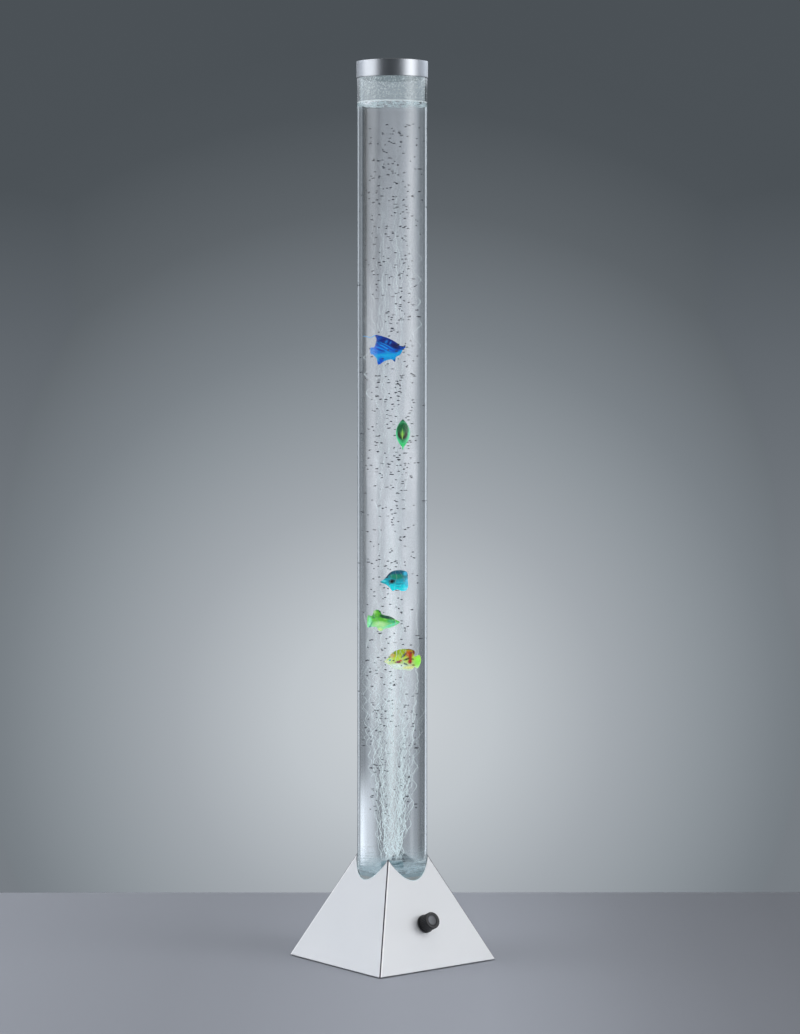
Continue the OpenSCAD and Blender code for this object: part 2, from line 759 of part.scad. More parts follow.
module dimmer_body() color("#3a3f45") at_dimmer() difference() {
    union() {
        translate([0, 0, -cover_t - dimmer_h]) cylinder(h = dimmer_h, r = dimmer_r, $fn = small);
        translate([0, 0, -cover_t - cut])
            cylinder(h = cover_t + cut + bushing_len, r = bushing_r, $fn = small);
        for (i = [-1:1]) translate([dimmer_r - lug_w, 2 * lug_w * i - lug_w / 2, -cover_t - dimmer_h])
            cube([lug_w + lug_len, lug_w, lug_w]);
    }
    translate([0, 0, -cover_t - dimmer_h + dimmer_floor])
        cylinder(h = dimmer_h + cover_t + bushing_len, r = shaft_d / 2 + running_gap, $fn = small);
}

module dimmer_shaft() color("silver") at_dimmer()
    translate([0, 0, -cover_t - dimmer_h + dimmer_floor + pass_gap])
        cylinder(h = cover_t + dimmer_h - dimmer_floor - pass_gap + knob_gap + knob_len - knob_recess_h
            - knob_front_wall - pass_gap, r = shaft_d / 2, $fn = small);

module dimmer_washer() color("lightgray") at_dimmer()
    tube_of(0, dimmer_washer_t, dimmer_washer_r, bushing_r + push_gap, small);

module dimmer_nut() color("lightgray") at_dimmer() translate([0, 0, dimmer_washer_t]) difference() {
    cylinder(h = dimmer_nut_t, r = dimmer_nut_r, $fn = 6);
    translate([0, 0, -cut]) cylinder(h = dimmer_nut_t + 2 * cut, r = bushing_r + thread_gap, $fn = small);
}

module cord_gland() color("#202020") on_rear_face(gland_place_h) rotate_extrude($fn = small) polygon([
    [gland_bore_d / 2, -cover_t - gland_neck],
    [gland_r, -cover_t - gland_neck],
    [gland_r, 0],
    [gland_flange_r, 0],
    [gland_flange_r, gland_flange_t],
    [gland_r, gland_flange_t + gland_nose],
    [gland_bore_d / 2, gland_flange_t + gland_nose]
]);

module gland_nut() color("#202020") on_rear_face(gland_place_h) translate([0, 0, -cover_t - gland_nut_t])
    difference() {
        cylinder(h = gland_nut_t, r = gland_nut_r, $fn = 6);
        translate([0, 0, -cut]) cylinder(h = gland_nut_t + 2 * cut, r = gland_r + thread_gap, $fn = small);
    }

module at_bosses() {
    for (x = [boss_inset, pump_len - boss_inset], y = [-1, 1])
        translate([x, y * (pump_w / 2 - boss_inset), 0]) children();
}

module pump_case() color("dimgray") at_pump() difference() {
    union() {
        difference() {
            translate([0, -pump_w / 2, 0]) cube([pump_len, pump_w, pump_h]);
            translate([pump_wall, -pump_w / 2 + pump_wall, pump_wall])
                cube([pump_len - 2 * pump_wall, pump_w - 2 * pump_wall, pump_h]);
        }
        at_bosses() cylinder(h = pump_h, r = boss_r, $fn = small);
        for (x = [core_x, core_x + magnet_len - core_leg])
            translate([x, -core_leg, 0]) cube([core_leg, 2 * core_leg, core_z]);
        for (y = [-1, 1])
            translate([pivot_x - post_w / 2, y * (eye_half + pass_gap + post_t / 2) - post_t / 2, 0])
                cube([post_w, post_t, pivot_z + post_t]);
    }
    at_bosses() translate([0, 0, pump_h - lid_screw_grip - cut])
        cylinder(h = lid_screw_grip + 2 * cut, r = lid_screw_r + thread_gap, $fn = small);
    translate([pivot_x, 0, pivot_z]) rotate([90, 0, 0])
        cylinder(h = 2 * (pin_half + cut), r = pivot_pin_r + push_gap, center = true, $fn = small);
    translate([pump_len - pump_wall - cut, 0, outlet_z]) rotate([0, 90, 0])
        cylinder(h = pump_wall + 2 * cut, r = nipple_root_r + push_gap, $fn = small);
    at_dampers() translate([0, 0, -cut])
        cylinder(h = pump_wall + 2 * cut, r = damper_peg_r + push_gap, $fn = small);
    translate([cup_x - flap_at, 0, -cut]) {
        cylinder(h = filter_t + cut, r = filter_r + push_gap, $fn = small);
        cylinder(h = pump_wall + 2 * cut, r = air_bore_r, $fn = small);
    }
}

module pump_lid() color("dimgray") at_pump() translate([0, 0, pump_h]) difference() {
    translate([0, -pump_w / 2, 0]) cube([pump_len, pump_w, lid_t]);
    at_bosses() translate([0, 0, -cut])
        cylinder(h = lid_t + 2 * cut, r = lid_screw_r + screw_gap, $fn = small);
}

module pump_lid_screws() color("lightgray") at_pump() at_bosses() translate([0, 0, pump_h + lid_t])
    rotate([180, 0, 0]) screw(lid_screw_r, lid_t + lid_screw_grip, lid_screw_head_r, lid_screw_head_h);

module pump_dampers() color("#202020") at_pump() at_dampers() {
    translate([0, 0, -damper_h]) cylinder(h = damper_h, r = damper_r, $fn = small);
    translate([0, 0, -damper_h - plate_t])
        cylinder(h = damper_h + plate_t + pump_wall, r = damper_peg_r, $fn = small);
}

module air_filter() color("ivory") at_pump() translate([cup_x - flap_at, 0, 0])
    cylinder(h = filter_t, r = filter_r, $fn = small);

module pump_core() color("#707478") at_pump() {
    translate([core_x, -core_w / 2, core_z]) cube([magnet_len, core_w, core_leg]);
    for (x = [core_x, core_x + magnet_len - core_leg])
        translate([x, -core_w / 2, core_z]) cube([core_leg, core_w, core_top - core_z]);
}

// Box around the core's lower bar, between the legs
module coil_box(from_leg, half_w, rise, grow) {
    translate([core_x + core_leg + from_leg, -half_w, core_z + core_leg / 2 - rise])
        cube([magnet_len - 2 * (core_leg + from_leg) + grow, 2 * half_w, 2 * rise]);
}

module pump_bobbin() color("#e8e0d0") at_pump() difference() {
    coil_box(pass_gap, bobbin_half_w, bobbin_rise, 0);
    difference() {
        coil_box(pass_gap + bobbin_wall, bobbin_half_w + cut, bobbin_rise + cut, 0);
        coil_box(pass_gap, core_w / 2 + bobbin_wall, core_leg / 2 + bobbin_wall, 0);
    }
    coil_box(0, core_w / 2 + push_gap, core_leg / 2 + push_gap, 0);
}

module pump_coil() color("#b87333") at_pump() difference() {
    coil_box(pass_gap + bobbin_wall, bobbin_half_w - coil_inset, bobbin_rise - coil_inset, 0);
    coil_box(0, core_w / 2 + bobbin_wall, core_leg / 2 + bobbin_wall, 0);
}

module pump_lever() color("silver") at_pump() difference() {
    union() {
        translate([pivot_x, 0, pivot_z]) rotate([90, 0, 0])
            cylinder(h = 2 * eye_half, r = eye_r, center = true, $fn = small);
        translate([pivot_x, -lever_w / 2, pivot_z - lever_t / 2])
            cube([lever_end_x - pivot_x, lever_w, lever_t]);
    }
    translate([pivot_x, 0, pivot_z]) rotate([90, 0, 0])
        cylinder(h = 2 * (eye_half + cut), r = pivot_pin_r + running_gap, center = true, $fn = small);
    translate([cup_x, 0, pivot_z - lever_t])
        cylinder(h = 2 * lever_t, r = arm_screw_r + thread_gap, $fn = small);
}

module pump_magnet() color("#4c4f52") at_pump()
    translate([magnet_x, -lever_w / 2, pivot_z - lever_t / 2 - magnet_t])
        cube([magnet_len, lever_w, magnet_t]);

module pump_pin() color("silver") at_pump() translate([pivot_x, 0, pivot_z]) rotate([90, 0, 0])
    cylinder(h = 2 * pin_half, r = pivot_pin_r, center = true, $fn = small);

module pump_arm_screw() color("lightgray") at_pump() translate([cup_x, 0, pivot_z + lever_t / 2])
    rotate([180, 0, 0]) screw(arm_screw_r, lever_t + arm_screw_grip, 2 * arm_screw_r, arm_screw_r);

module pump_diaphragm() color("#303030") at_pump() translate([cup_x, 0, 0]) difference() {
    hub_top = pivot_z - lever_t / 2;
    hub_low = hub_top - cup_hub_h;
    rotate_extrude($fn = small) polygon([
        [0, hub_low - cup_skin],
        [cup_hub_r - cup_skin / 2, hub_low - cup_skin],
        [cup_seat_r + push_gap, block_top + cup_rim_h - cup_skin],
        [cup_seat_r + push_gap, block_top],
        [cup_rim_r, block_top],
        [cup_rim_r, block_top + cup_rim_h],
        [cup_hub_r, hub_low],
        [cup_hub_r, hub_top],
        [0, hub_top]
    ]);
    translate([0, 0, hub_top - arm_screw_grip - cut])
        cylinder(h = arm_screw_grip + 2 * cut, r = arm_screw_r + thread_gap, $fn = small);
}

module valve_block() color("beige") at_pump() difference() {
    union() {
        translate([block_x, -block_w / 2, pump_wall])
            cube([pump_len - pump_wall - block_x, block_w, block_h]);
        translate([cup_x, 0, block_top - cut]) cylinder(h = cup_seat_h + cut, r = cup_seat_r, $fn = small);
        translate([pump_len - pump_wall - cut, 0, outlet_z]) rotate([0, 90, 0]) {
            cylinder(h = pump_wall + cut, r = nipple_root_r, $fn = small);
            cylinder(h = pump_wall + cut + nipple_len, r = barb_r, $fn = small);
        }
    }
    translate([cup_x + flap_at, 0, outlet_z]) {
        cylinder(h = block_h, r = air_bore_r, $fn = small);
        rotate([0, 90, 0]) cylinder(h = pump_len, r = air_bore_r, $fn = small);
    }
    translate([cup_x - flap_at, 0, pump_wall - cut])
        cylinder(h = block_h + cup_seat_h + 2 * cut, r = air_bore_r, $fn = small);
}

module valve_flaps() color("#303030") at_pump() for (x = [-flap_at, flap_at])
    translate([cup_x + x, 0, block_top + cup_seat_h]) cylinder(h = flap_t, r = flap_r, $fn = small);

// Hose from the pump's nipple: straight, a quarter turn up, then straight to the check valve
module lower_hose() color("#d8e4e6") {
    straight = nipple_len + pump_wall - hose_end_gap;
    up_z = outlet_h + hose_bend_r;
    translate([-hose_bend_r, 0, outlet_h]) rotate([0, -90, 0])
        tube_of(0, straight, hose_d / 2, hose_bore_d / 2, small);
    translate([-hose_bend_r, 0, up_z]) rotate([90, 0, 0]) rotate([0, 0, -90])
        rotate_extrude(angle = 90, $fn = fine) translate([hose_bend_r, 0]) difference() {
            circle(r = hose_d / 2, $fn = small);
            circle(r = hose_bore_d / 2, $fn = small);
        }
    tube_of(up_z, valve_z - up_z - hose_end_gap, hose_d / 2, hose_bore_d / 2, small);
}

module check_valve() color("#e6e6e6") translate([0, 0, valve_z]) rotate_extrude($fn = small) polygon([
    [nozzle_bore_r, -valve_barb],
    [barb_r, -valve_barb],
    [barb_r, 0],
    [valve_r, 0],
    [valve_r, valve_len],
    [barb_r, valve_len],
    [barb_r, valve_len + valve_barb],
    [nozzle_bore_r, valve_len + valve_barb],
    [nozzle_bore_r, valve_len - valve_end],
    [valve_bore_r, valve_len - valve_end],
    [valve_bore_r, valve_end],
    [nozzle_bore_r, valve_end]
]);

module check_valve_bill() color("#303030") translate([0, 0, valve_z + valve_end]) rotate_extrude($fn = small)
    polygon([
        [nozzle_bore_r, 0],
        [valve_bore_r - push_gap, 0],
        [valve_bore_r - push_gap, bill_t],
        [bill_r, bill_t],
        [nozzle_bore_r, bill_len],
        [nozzle_bore_r / 2, bill_len]
    ]);

module upper_hose() color("#d8e4e6")
    tube_of(valve_z + valve_len + hose_end_gap, nozzle_low_z - valve_z - valve_len - 2 * hose_end_gap,
        hose_d / 2, hose_bore_d / 2, small);

module control_board() color("#2e6b43") at_control() translate([0, 0, control_z]) difference() {
    cube([control_len, control_w, board_t]);
    at_standoffs() translate([0, 0, -cut])
        cylinder(h = board_t + 2 * cut, r = control_screw_r + screw_gap, $fn = small);
}

module board_standoffs() color("#b5a269") at_control() at_standoffs() difference() {
    union() {
        translate([0, 0, plate_top]) cylinder(h = standoff_h, r = standoff_r, $fn = small);
        translate([0, 0, foot_h]) cylinder(h = plate_t + cut, r = standoff_peg_r, $fn = small);
    }
    translate([0, 0, control_z - control_screw_grip - cut])
        cylinder(h = control_screw_grip + 2 * cut, r = control_screw_r + thread_gap, $fn = small);
}

module board_screws() color("lightgray") at_control() at_standoffs() translate([0, 0, control_top])
    rotate([180, 0, 0])
        screw(control_screw_r, board_t + control_screw_grip, control_screw_head_r, control_screw_head_h);

// Place on the control board's upper side, given as shares of its length and width
module on_control(share) {
    at_control() translate([control_len * share[0], control_w * share[1], control_top]) children();
}

module board_parts() color("#404448") {
    for (share = plug_share) on_control(share)
        translate([-plug_w / 2, -plug_w / 2, 0]) cube([plug_w, plug_w, plug_h]);
    for (share = capacitor_share) on_control(share) cylinder(h = capacitor_h, r = capacitor_r, $fn = small);
    on_control(chip_share) translate([-chip_w / 2, -chip_w / 2, 0]) cube([chip_w, chip_w, chip_h]);
    on_control(choke_share) tube_of(0, choke_h, choke_r, choke_r / 3, small);
}

module terminal_block() color("#2f7d4f") on_control(terminal_share)
    translate([-terminal_d / 2, -terminal_w / 2, 0]) difference() {
        cube([terminal_d, terminal_w, terminal_h]);
        for (y = [terminal_w / 4, terminal_w * 3 / 4]) {
            translate([terminal_d / 2, y, terminal_h / 2]) rotate([0, 90, 0])
                cylinder(h = terminal_d, r = terminal_hole_r, $fn = small);
            translate([terminal_d / 2, y, terminal_h / 2])
                cylinder(h = terminal_h, r = terminal_hole_r, $fn = small);
        }
    }

module led_lead() color("#c03030") lead(led_lead_path, [0, 1, 0]);

module pump_lead() color("#303030") lead(pump_lead_path, [0, 1, 0]);

// The dimmer's lead ends on the middle lug, and comes to it along the face
module dimmer_lead() color("#d0d0d0") {
    down = cover_t + dimmer_h - lug_w / 2;
    end = [
        knob_shift + dimmer_r + lug_len,
        -half_at(knob_h) + down * sin(face_angle),
        knob_h - down * cos(face_angle)
    ];
    lead(concat([plug_at(2)], dimmer_lead_way, [end + [lug_len, 0, 0], end]), [1, -1, 0]);
}

// Place of a fish in the tube: sideways across the view, then turned from the view's right
module at_fish(h, side, turn) {
    rotate([0, 0, view_turn]) translate([side, 0, h]) rotate([0, 0, turn]) children();
}

// A fish with its nose to +X: a thin outline with fins, and a rounded body through it
module fish(length, outline_share, body_share) {
    nose_x = length * body_share[0];
    tail_x = length * body_share[1];
    rings = [for (i = [0:body_rings - 1]) let (
        s = (i + 1) / (body_rings + 1),
        swell = pow(sin(180 * s), 0.8),
        x = nose_x + (tail_x - nose_x) * s,
        middle = length * (body_share[2] + (body_share[3] - body_share[2]) * s)
    ) for (k = [0:body_sides - 1]) let (a = 360 * (k + 0.5) / body_sides) [
        x,
        -length * body_share[5] * swell * cos(a),
        middle + length * body_share[4] * swell * sin(a)
    ]];
    union() {
        rotate([90, 0, 0]) linear_extrude(height = fish_fin_t, center = true)
            polygon(length * smooth_loop(outline_share, outline_steps));
        polyhedron(points = rings, faces = skin_faces(body_rings, body_sides), convexity = 4);
    }
}

module fish_blue() color("#1d5fe0") at_fish(fish_blue_h, fish_blue_side, fish_blue_turn)
    fish(fish_blue_len, blue_share, blue_body_share);

// This fish swims straight up, with its back to the view
module fish_green() color("#2fae5c") at_fish(fish_green_h, fish_green_side, 0)
    rotate([0, -90, 90]) fish(fish_green_len, green_share, green_body_share);

module fish_cyan() color("#27c3d8") at_fish(fish_cyan_h, fish_cyan_side, fish_cyan_turn)
    fish(fish_cyan_len, cyan_share, cyan_body_share);

module fish_lime() color("#8fe08a") at_fish(fish_lime_h, fish_lime_side, fish_lime_turn)
    fish(fish_lime_len, lime_share, lime_body_share);

module fish_yellow() color("#c7e065") at_fish(fish_yellow_h, fish_yellow_side, fish_yellow_turn)
    fish(fish_yellow_len, yellow_share, yellow_body_share);

base_cover();
base_plate();
feet();
plate_screws();
tube_socket();
socket_screws();
tube();
tube_floor();
floor_ring();
nozzle_seal();
air_nozzle();
nozzle_nut();
bubble_diffuser();
led_board();
led_chips();
led_board_screws();
cap();
cap_liner();
knob();
dimmer_body();
dimmer_shaft();
dimmer_washer();
dimmer_nut();
cord_gland();
gland_nut();
pump_case();
pump_lid();
pump_lid_screws();
pump_dampers();
air_filter();
pump_core();
pump_bobbin();
pump_coil();
pump_lever();
pump_magnet();
pump_pin();
pump_arm_screw();
pump_diaphragm();
valve_block();
valve_flaps();
lower_hose();
check_valve();
check_valve_bill();
upper_hose();
control_board();
board_standoffs();
board_screws();
board_parts();
terminal_block();
led_lead();
pump_lead();
dimmer_lead();
fish_blue();
fish_green();
fish_cyan();
fish_lime();
fish_yellow();
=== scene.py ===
# %% [markdown]
# Bubble tube floor lamp.
# A clear tube of water stands in a four-sided steel foot. Air rises through the water as bubbles, lights
# under a clear disc shine up into it, and five plastic fish drift among the bubbles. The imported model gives
# the place and size of every part, so it is loaded first and nothing in it is moved.

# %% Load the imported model
import json
import math

import bmesh
import bpy
import numpy as np
from mathutils import Matrix, Vector


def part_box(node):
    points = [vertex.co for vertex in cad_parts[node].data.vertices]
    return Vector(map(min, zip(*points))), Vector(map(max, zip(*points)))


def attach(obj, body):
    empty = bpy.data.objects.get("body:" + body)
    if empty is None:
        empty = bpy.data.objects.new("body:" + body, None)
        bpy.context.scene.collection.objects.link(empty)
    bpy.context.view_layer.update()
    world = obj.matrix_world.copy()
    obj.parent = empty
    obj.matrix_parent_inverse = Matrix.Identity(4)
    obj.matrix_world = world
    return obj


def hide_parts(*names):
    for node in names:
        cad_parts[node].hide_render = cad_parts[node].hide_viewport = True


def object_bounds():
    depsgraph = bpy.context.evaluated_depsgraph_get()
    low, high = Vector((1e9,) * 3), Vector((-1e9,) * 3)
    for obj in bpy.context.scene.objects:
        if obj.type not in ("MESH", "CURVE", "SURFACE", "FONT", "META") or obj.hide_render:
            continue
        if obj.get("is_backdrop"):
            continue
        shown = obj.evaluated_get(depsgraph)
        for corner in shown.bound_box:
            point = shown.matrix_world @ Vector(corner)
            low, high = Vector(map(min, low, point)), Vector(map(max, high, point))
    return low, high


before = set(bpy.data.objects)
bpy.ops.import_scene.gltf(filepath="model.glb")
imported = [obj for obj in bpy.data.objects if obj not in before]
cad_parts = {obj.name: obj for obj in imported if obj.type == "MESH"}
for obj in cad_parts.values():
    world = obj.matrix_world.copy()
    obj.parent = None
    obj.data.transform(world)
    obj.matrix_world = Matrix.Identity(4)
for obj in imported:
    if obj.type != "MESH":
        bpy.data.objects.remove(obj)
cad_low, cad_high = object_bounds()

print("CAD box, mm:", [round(1000 * x, 1) for x in (*cad_low, *cad_high)])

# %% [markdown]
# A lamp maker measures the parts before making what goes on them. The heights and radii below are read from
# the solids, so that the water, the fish and the bubbles sit where the solids say.

# %% Sizes of the parts, in metres
MM = 0.001
tube_low, tube_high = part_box("tube")[0].z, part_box("tube")[1].z
tube_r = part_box("tube")[1].x
bore_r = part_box("tube_floor")[1].x
disc_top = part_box("tube_floor")[1].z
cap_r, cap_low, cap_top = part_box("cap")[1].x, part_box("cap")[0].z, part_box("cap")[1].z
cover_half, cover_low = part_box("base_cover")[1].x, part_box("base_cover")[0].z
water_top = 1.2205
FISH = ["blue", "green", "cyan", "lime", "yellow"]
print("tube", round(tube_low, 4), round(tube_high, 4), "radius", round(tube_r, 4), "bore", round(bore_r, 4))

# %% [markdown]
# The camera stands where the photographer stood: a little above the middle of the tube, with a long lens,
# turned to see two faces of the foot. Its place was worked out from the foot's corners, the tube's sides,
# the cap's rims and the knob. The picture was framed well below the lens axis, so part of that is a shift.

# %% Camera
PHOTO_W, PHOTO_H = 800, 1034
SENSOR = 36.0
FOCUS_PX = 2976.3
EYE = Vector((-2.63399, -3.32969, 0.86115))
YAW, PITCH = math.radians(-38.496), math.radians(1.116)
SHIFT_PX = 103

camera = bpy.data.objects.new("camera", bpy.data.cameras.new("camera"))
bpy.context.scene.collection.objects.link(camera)
camera.data.sensor_width = SENSOR
camera.data.lens = FOCUS_PX * SENSOR / PHOTO_H
camera.data.shift_y = -SHIFT_PX / PHOTO_H
camera.data.clip_start, camera.data.clip_end = 0.1, 60
ahead = Vector((-math.sin(YAW) * math.cos(PITCH), math.cos(YAW) * math.cos(PITCH), -math.sin(PITCH)))
camera.location = EYE
camera.rotation_euler = ahead.to_track_quat("-Z", "Y").to_euler()
bpy.context.scene.camera = camera
to_camera = Vector((EYE.x, EYE.y, 0)).normalized()
to_right = Vector((math.cos(YAW), math.sin(YAW), 0))
print("lens, mm:", round(camera.data.lens, 2), "shift:", round(camera.data.shift_y, 4))


def photo_point(p):
    """Where a point shows in the photograph, in pixels from its upper left corner."""
    d = Vector(p) - EYE
    depth = d.dot(ahead)
    up = to_right.cross(ahead)
    return (PHOTO_W / 2 + FOCUS_PX * d.dot(to_right) / depth,
            PHOTO_H / 2 - FOCUS_PX * d.dot(up) / depth - SHIFT_PX)


for name, p in (("front corner", (-cover_half, -cover_half, cover_low)), ("water line", (0, 0, water_top))):
    print(name, "shows at", [round(x, 1) for x in photo_point(p)])

# %% [markdown]
# Shader sums read best as sums. A Socket wraps one output of a node, and the usual signs on it add the Math
# or Vector Math node that does the sum. A Finish is one material, or the world: it makes every other kind of
# node with one method, which takes the node's type, then its settings, then what goes into its sockets.

# %% Sockets that can be used in sums
class Socket:
    """One output of a node. Sums with it add Math nodes, or Vector Math nodes where one side is a vector."""

    def __init__(self, finish, output):
        self.finish, self.output = finish, output

    def sum(self, operation, first, second):
        vector = any(isinstance(x, Socket) and x.output.type == "VECTOR" for x in (first, second))
        kind = "ShaderNodeVectorMath" if vector else "ShaderNodeMath"
        return self.finish.add(kind, {"operation": operation}, [first, second])

    def __add__(self, other): return self.sum("ADD", self, other)
    def __radd__(self, other): return self.sum("ADD", other, self)
    def __sub__(self, other): return self.sum("SUBTRACT", self, other)
    def __rsub__(self, other): return self.sum("SUBTRACT", other, self)
    def __mul__(self, other): return self.sum("MULTIPLY", self, other)
    def __rmul__(self, other): return self.sum("MULTIPLY", other, self)
    def __truediv__(self, other): return self.sum("DIVIDE", self, other)
    def __pow__(self, other): return self.sum("POWER", self, other)


class Finish:
    """A material's or a world's node tree, emptied, with the few ways in which this script fills it."""

    def __init__(self, owner):
        self.owner = owner
        owner.use_nodes = True
        self.tree = owner.node_tree
        self.tree.nodes.clear()

    def add(self, kind, settings=None, sockets=None, output=0):
        """Adds a node: settings first, then a value or a Socket for each socket, by name or number."""
        node = self.tree.nodes.new(kind)
        for key, value in (settings or {}).items():
            if key == "stops":
                ramp = node.color_ramp.elements
                while len(ramp) < len(value):
                    ramp.new(0.5)
                for element, (place, colour) in zip(ramp, value):
                    element.position = place
                    element.color = rgba(colour)
            else:
                setattr(node, key, value)
        pairs = sockets.items() if isinstance(sockets, dict) else enumerate(sockets or [])
        for key, value in pairs:
            if isinstance(value, Socket):
                self.tree.links.new(value.output, node.inputs[key])
            elif node.inputs[key].type == "RGBA":
                node.inputs[key].default_value = rgba(value)
            elif node.inputs[key].type == "VECTOR" and np.isscalar(value):
                node.inputs[key].default_value = (value,) * 3
            else:
                node.inputs[key].default_value = value
        return Socket(self, node.outputs[output]) if len(node.outputs) else None

    def mix(self, share, first, second):
        """A colour between two colours."""
        return self.add("ShaderNodeMix", {"data_type": "RGBA"}, {0: share, 6: first, 7: second}, 2)

    def noise(self, place, scale, detail=2.0, rough=0.5, stretch=None):
        """A soft random value. The stretch makes it that many times finer along each axis."""
        if stretch:
            place = self.add("ShaderNodeMapping", {}, {"Vector": place, "Scale": stretch})
        return self.add("ShaderNodeTexNoise", {}, {"Vector": place, "Scale": scale, "Detail": detail,
                                                   "Roughness": rough})

    def steps(self, value, low, high, to_low=0.0, to_high=1.0):
        """A value that goes smoothly from one number to another between two limits."""
        return self.add("ShaderNodeMapRange", {"interpolation_type": "SMOOTHSTEP"},
                        [value, low, high, to_low, to_high])

    def band(self, value, sets_in, ends):
        """1 between two limits and 0 outside. Each limit is a pair of numbers with a smooth step between."""
        return self.steps(value, *sets_in) * self.steps(value, *ends, 1.0, 0.0)

    def ramp(self, value, stops):
        """A colour that runs through stops, each a place from 0 to 1 and a colour."""
        return self.add("ShaderNodeValToRGB", {"stops": stops}, [value])

    def dot(self, first, second):
        """How far a vector reaches along a fixed direction."""
        return self.add("ShaderNodeVectorMath", {"operation": "DOT_PRODUCT"}, [first, tuple(second)], 1)

    def height(self, place):
        return self.add("ShaderNodeSeparateXYZ", {}, [place], 2)

    def place(self):
        """Where a point lies in the piece's own space."""
        return self.add("ShaderNodeTexCoord", output=3)

    def mark(self, name, output=0):
        """A mesh attribute by its name: its colour, or with output 2 its number."""
        return self.add("ShaderNodeAttribute", {"attribute_name": name}, output=output)

    def bump(self, height, strength, distance):
        return self.add("ShaderNodeBump", {}, {"Strength": strength, "Distance": distance, "Height": height})

    def skin(self, **sockets):
        """The Principled shader, linked to the output. Names have _ for a blank."""
        named = {name.replace("_", " "): value for name, value in sockets.items()}
        return self.show(self.add("ShaderNodeBsdfPrincipled", {}, named))

    def show(self, shader):
        self.add("ShaderNodeOutputMaterial", {}, {"Surface": shader})
        return shader


def rgba(colour):
    return (*colour[:3], 1.0) if hasattr(colour, "__len__") else (colour,) * 3 + (1.0,)


def light_of(*srgb):
    """Colour numbers as the screen has them, 0 to 255, as amounts of light."""
    c = np.array(srgb, float) / 255
    return tuple(np.where(c < 0.04045, c / 12.92, ((c + 0.055) / 1.055) ** 2.4))


def new_finish(name):
    return Finish(bpy.data.materials.new(name))

# %% [markdown]
# The backdrop is a grey wall with a soft pool of light behind the lamp. A real wall would hide the lamp from
# behind, so the world carries it: rays from the camera, and rays that a shiny or clear surface sends on, see
# the pool, while matte surfaces get plain even light. The pool is a ramp over the angle from its middle, and
# away from it the wall only pales towards the floor. Shiny metal and the water show more of the studio than
# the camera sees: its pale side walls and the dark flags beside them. Two tables by bearing hold these.

# %% Backdrop
world = Finish(bpy.data.worlds.new("studio"))
bpy.context.scene.world = world.owner
POOL_PX = (392, 715)
RAMP_PX = 720.0
pool_ray = (ahead + to_right * ((POOL_PX[0] - PHOTO_W / 2) / FOCUS_PX)
            - to_right.cross(ahead) * ((POOL_PX[1] - PHOTO_H / 2 + SHIFT_PX) / FOCUS_PX)).normalized()
ray = world.add("ShaderNodeTexCoord")
angle = world.add("ShaderNodeMath", {"operation": "ARCCOSINE"}, [world.dot(ray, pool_ray)])
pool = world.ramp(angle * (FOCUS_PX / RAMP_PX), [
    (0.0, light_of(203, 208, 212)), (0.14, light_of(191, 197, 202)), (0.30, light_of(163, 169, 175)),
    (0.43, light_of(142, 149, 155)), (0.53, light_of(123, 130, 136)), (0.70, light_of(94, 100, 105)),
    (0.84, light_of(78, 84, 89)), (1.0, light_of(73, 79, 84))])
height = world.height(ray)
wall = world.ramp(world.steps(height, -0.7, 0.7), [
    (0.0, light_of(122, 128, 134)), (0.42, light_of(118, 124, 130)), (0.50, light_of(98, 104, 110)),
    (0.56, light_of(76, 82, 87)), (1.0, light_of(70, 76, 81))])
lighter = world.add("ShaderNodeMix", {"data_type": "RGBA", "blend_type": "LIGHTEN"},
                    {0: 1.0, 6: pool, 7: wall}, 2)
to_eye, in_gloss, through_clear = [world.add("ShaderNodeLightPath", output=k) for k in (0, 3, 6)]
forwards = world.dot(ray, -to_camera)
bearing = world.add("ShaderNodeMath", {"operation": "ARCTAN2"}, [world.dot(ray, to_right), forwards])
bearing = bearing * (180 / math.pi)


def by_bearing(table):
    """A grey level from pairs of bearing and level. Bearings are degrees to the right of straight ahead."""
    stops = [(0.5 + degrees / 360, (level / 2,) * 3) for degrees, level in table]
    return world.ramp(bearing * (1 / 360) + 0.5, stops) * 2.0


IN_METAL = [(-180, 0.1), (-150, 0.2), (-144, 0.5), (-134, 1.4), (-124, 2.4), (-112, 2.8), (-101, 2.6),
            (-88, 2.7), (-73, 2.9), (-55, 3.0), (-39, 1.4), (0, 0.8), (39, 3.2), (61, 2.8), (78, 2.2),
            (92, 2.3), (105, 2.2), (116, 1.6), (127, 2.4), (138, 2.3), (148, 1.6), (156, 0.4), (180, 0.1)]
IN_WATER = [(-90, 0.3), (-66, 0.4), (-62, 1.1), (-50, 1.08), (-46, 0.26), (-41, 0.26), (-32, 0.3),
            (-25, 0.46), (-18, 0.5), (-9, 0.5), (-5, 0.4), (13, 0.4), (18, 0.44), (24, 0.36), (29, 0.12),
            (35, 0.14), (40, 0.22), (47, 0.18), (50, 0.85), (62, 0.85), (66, 0.4), (90, 0.3)]
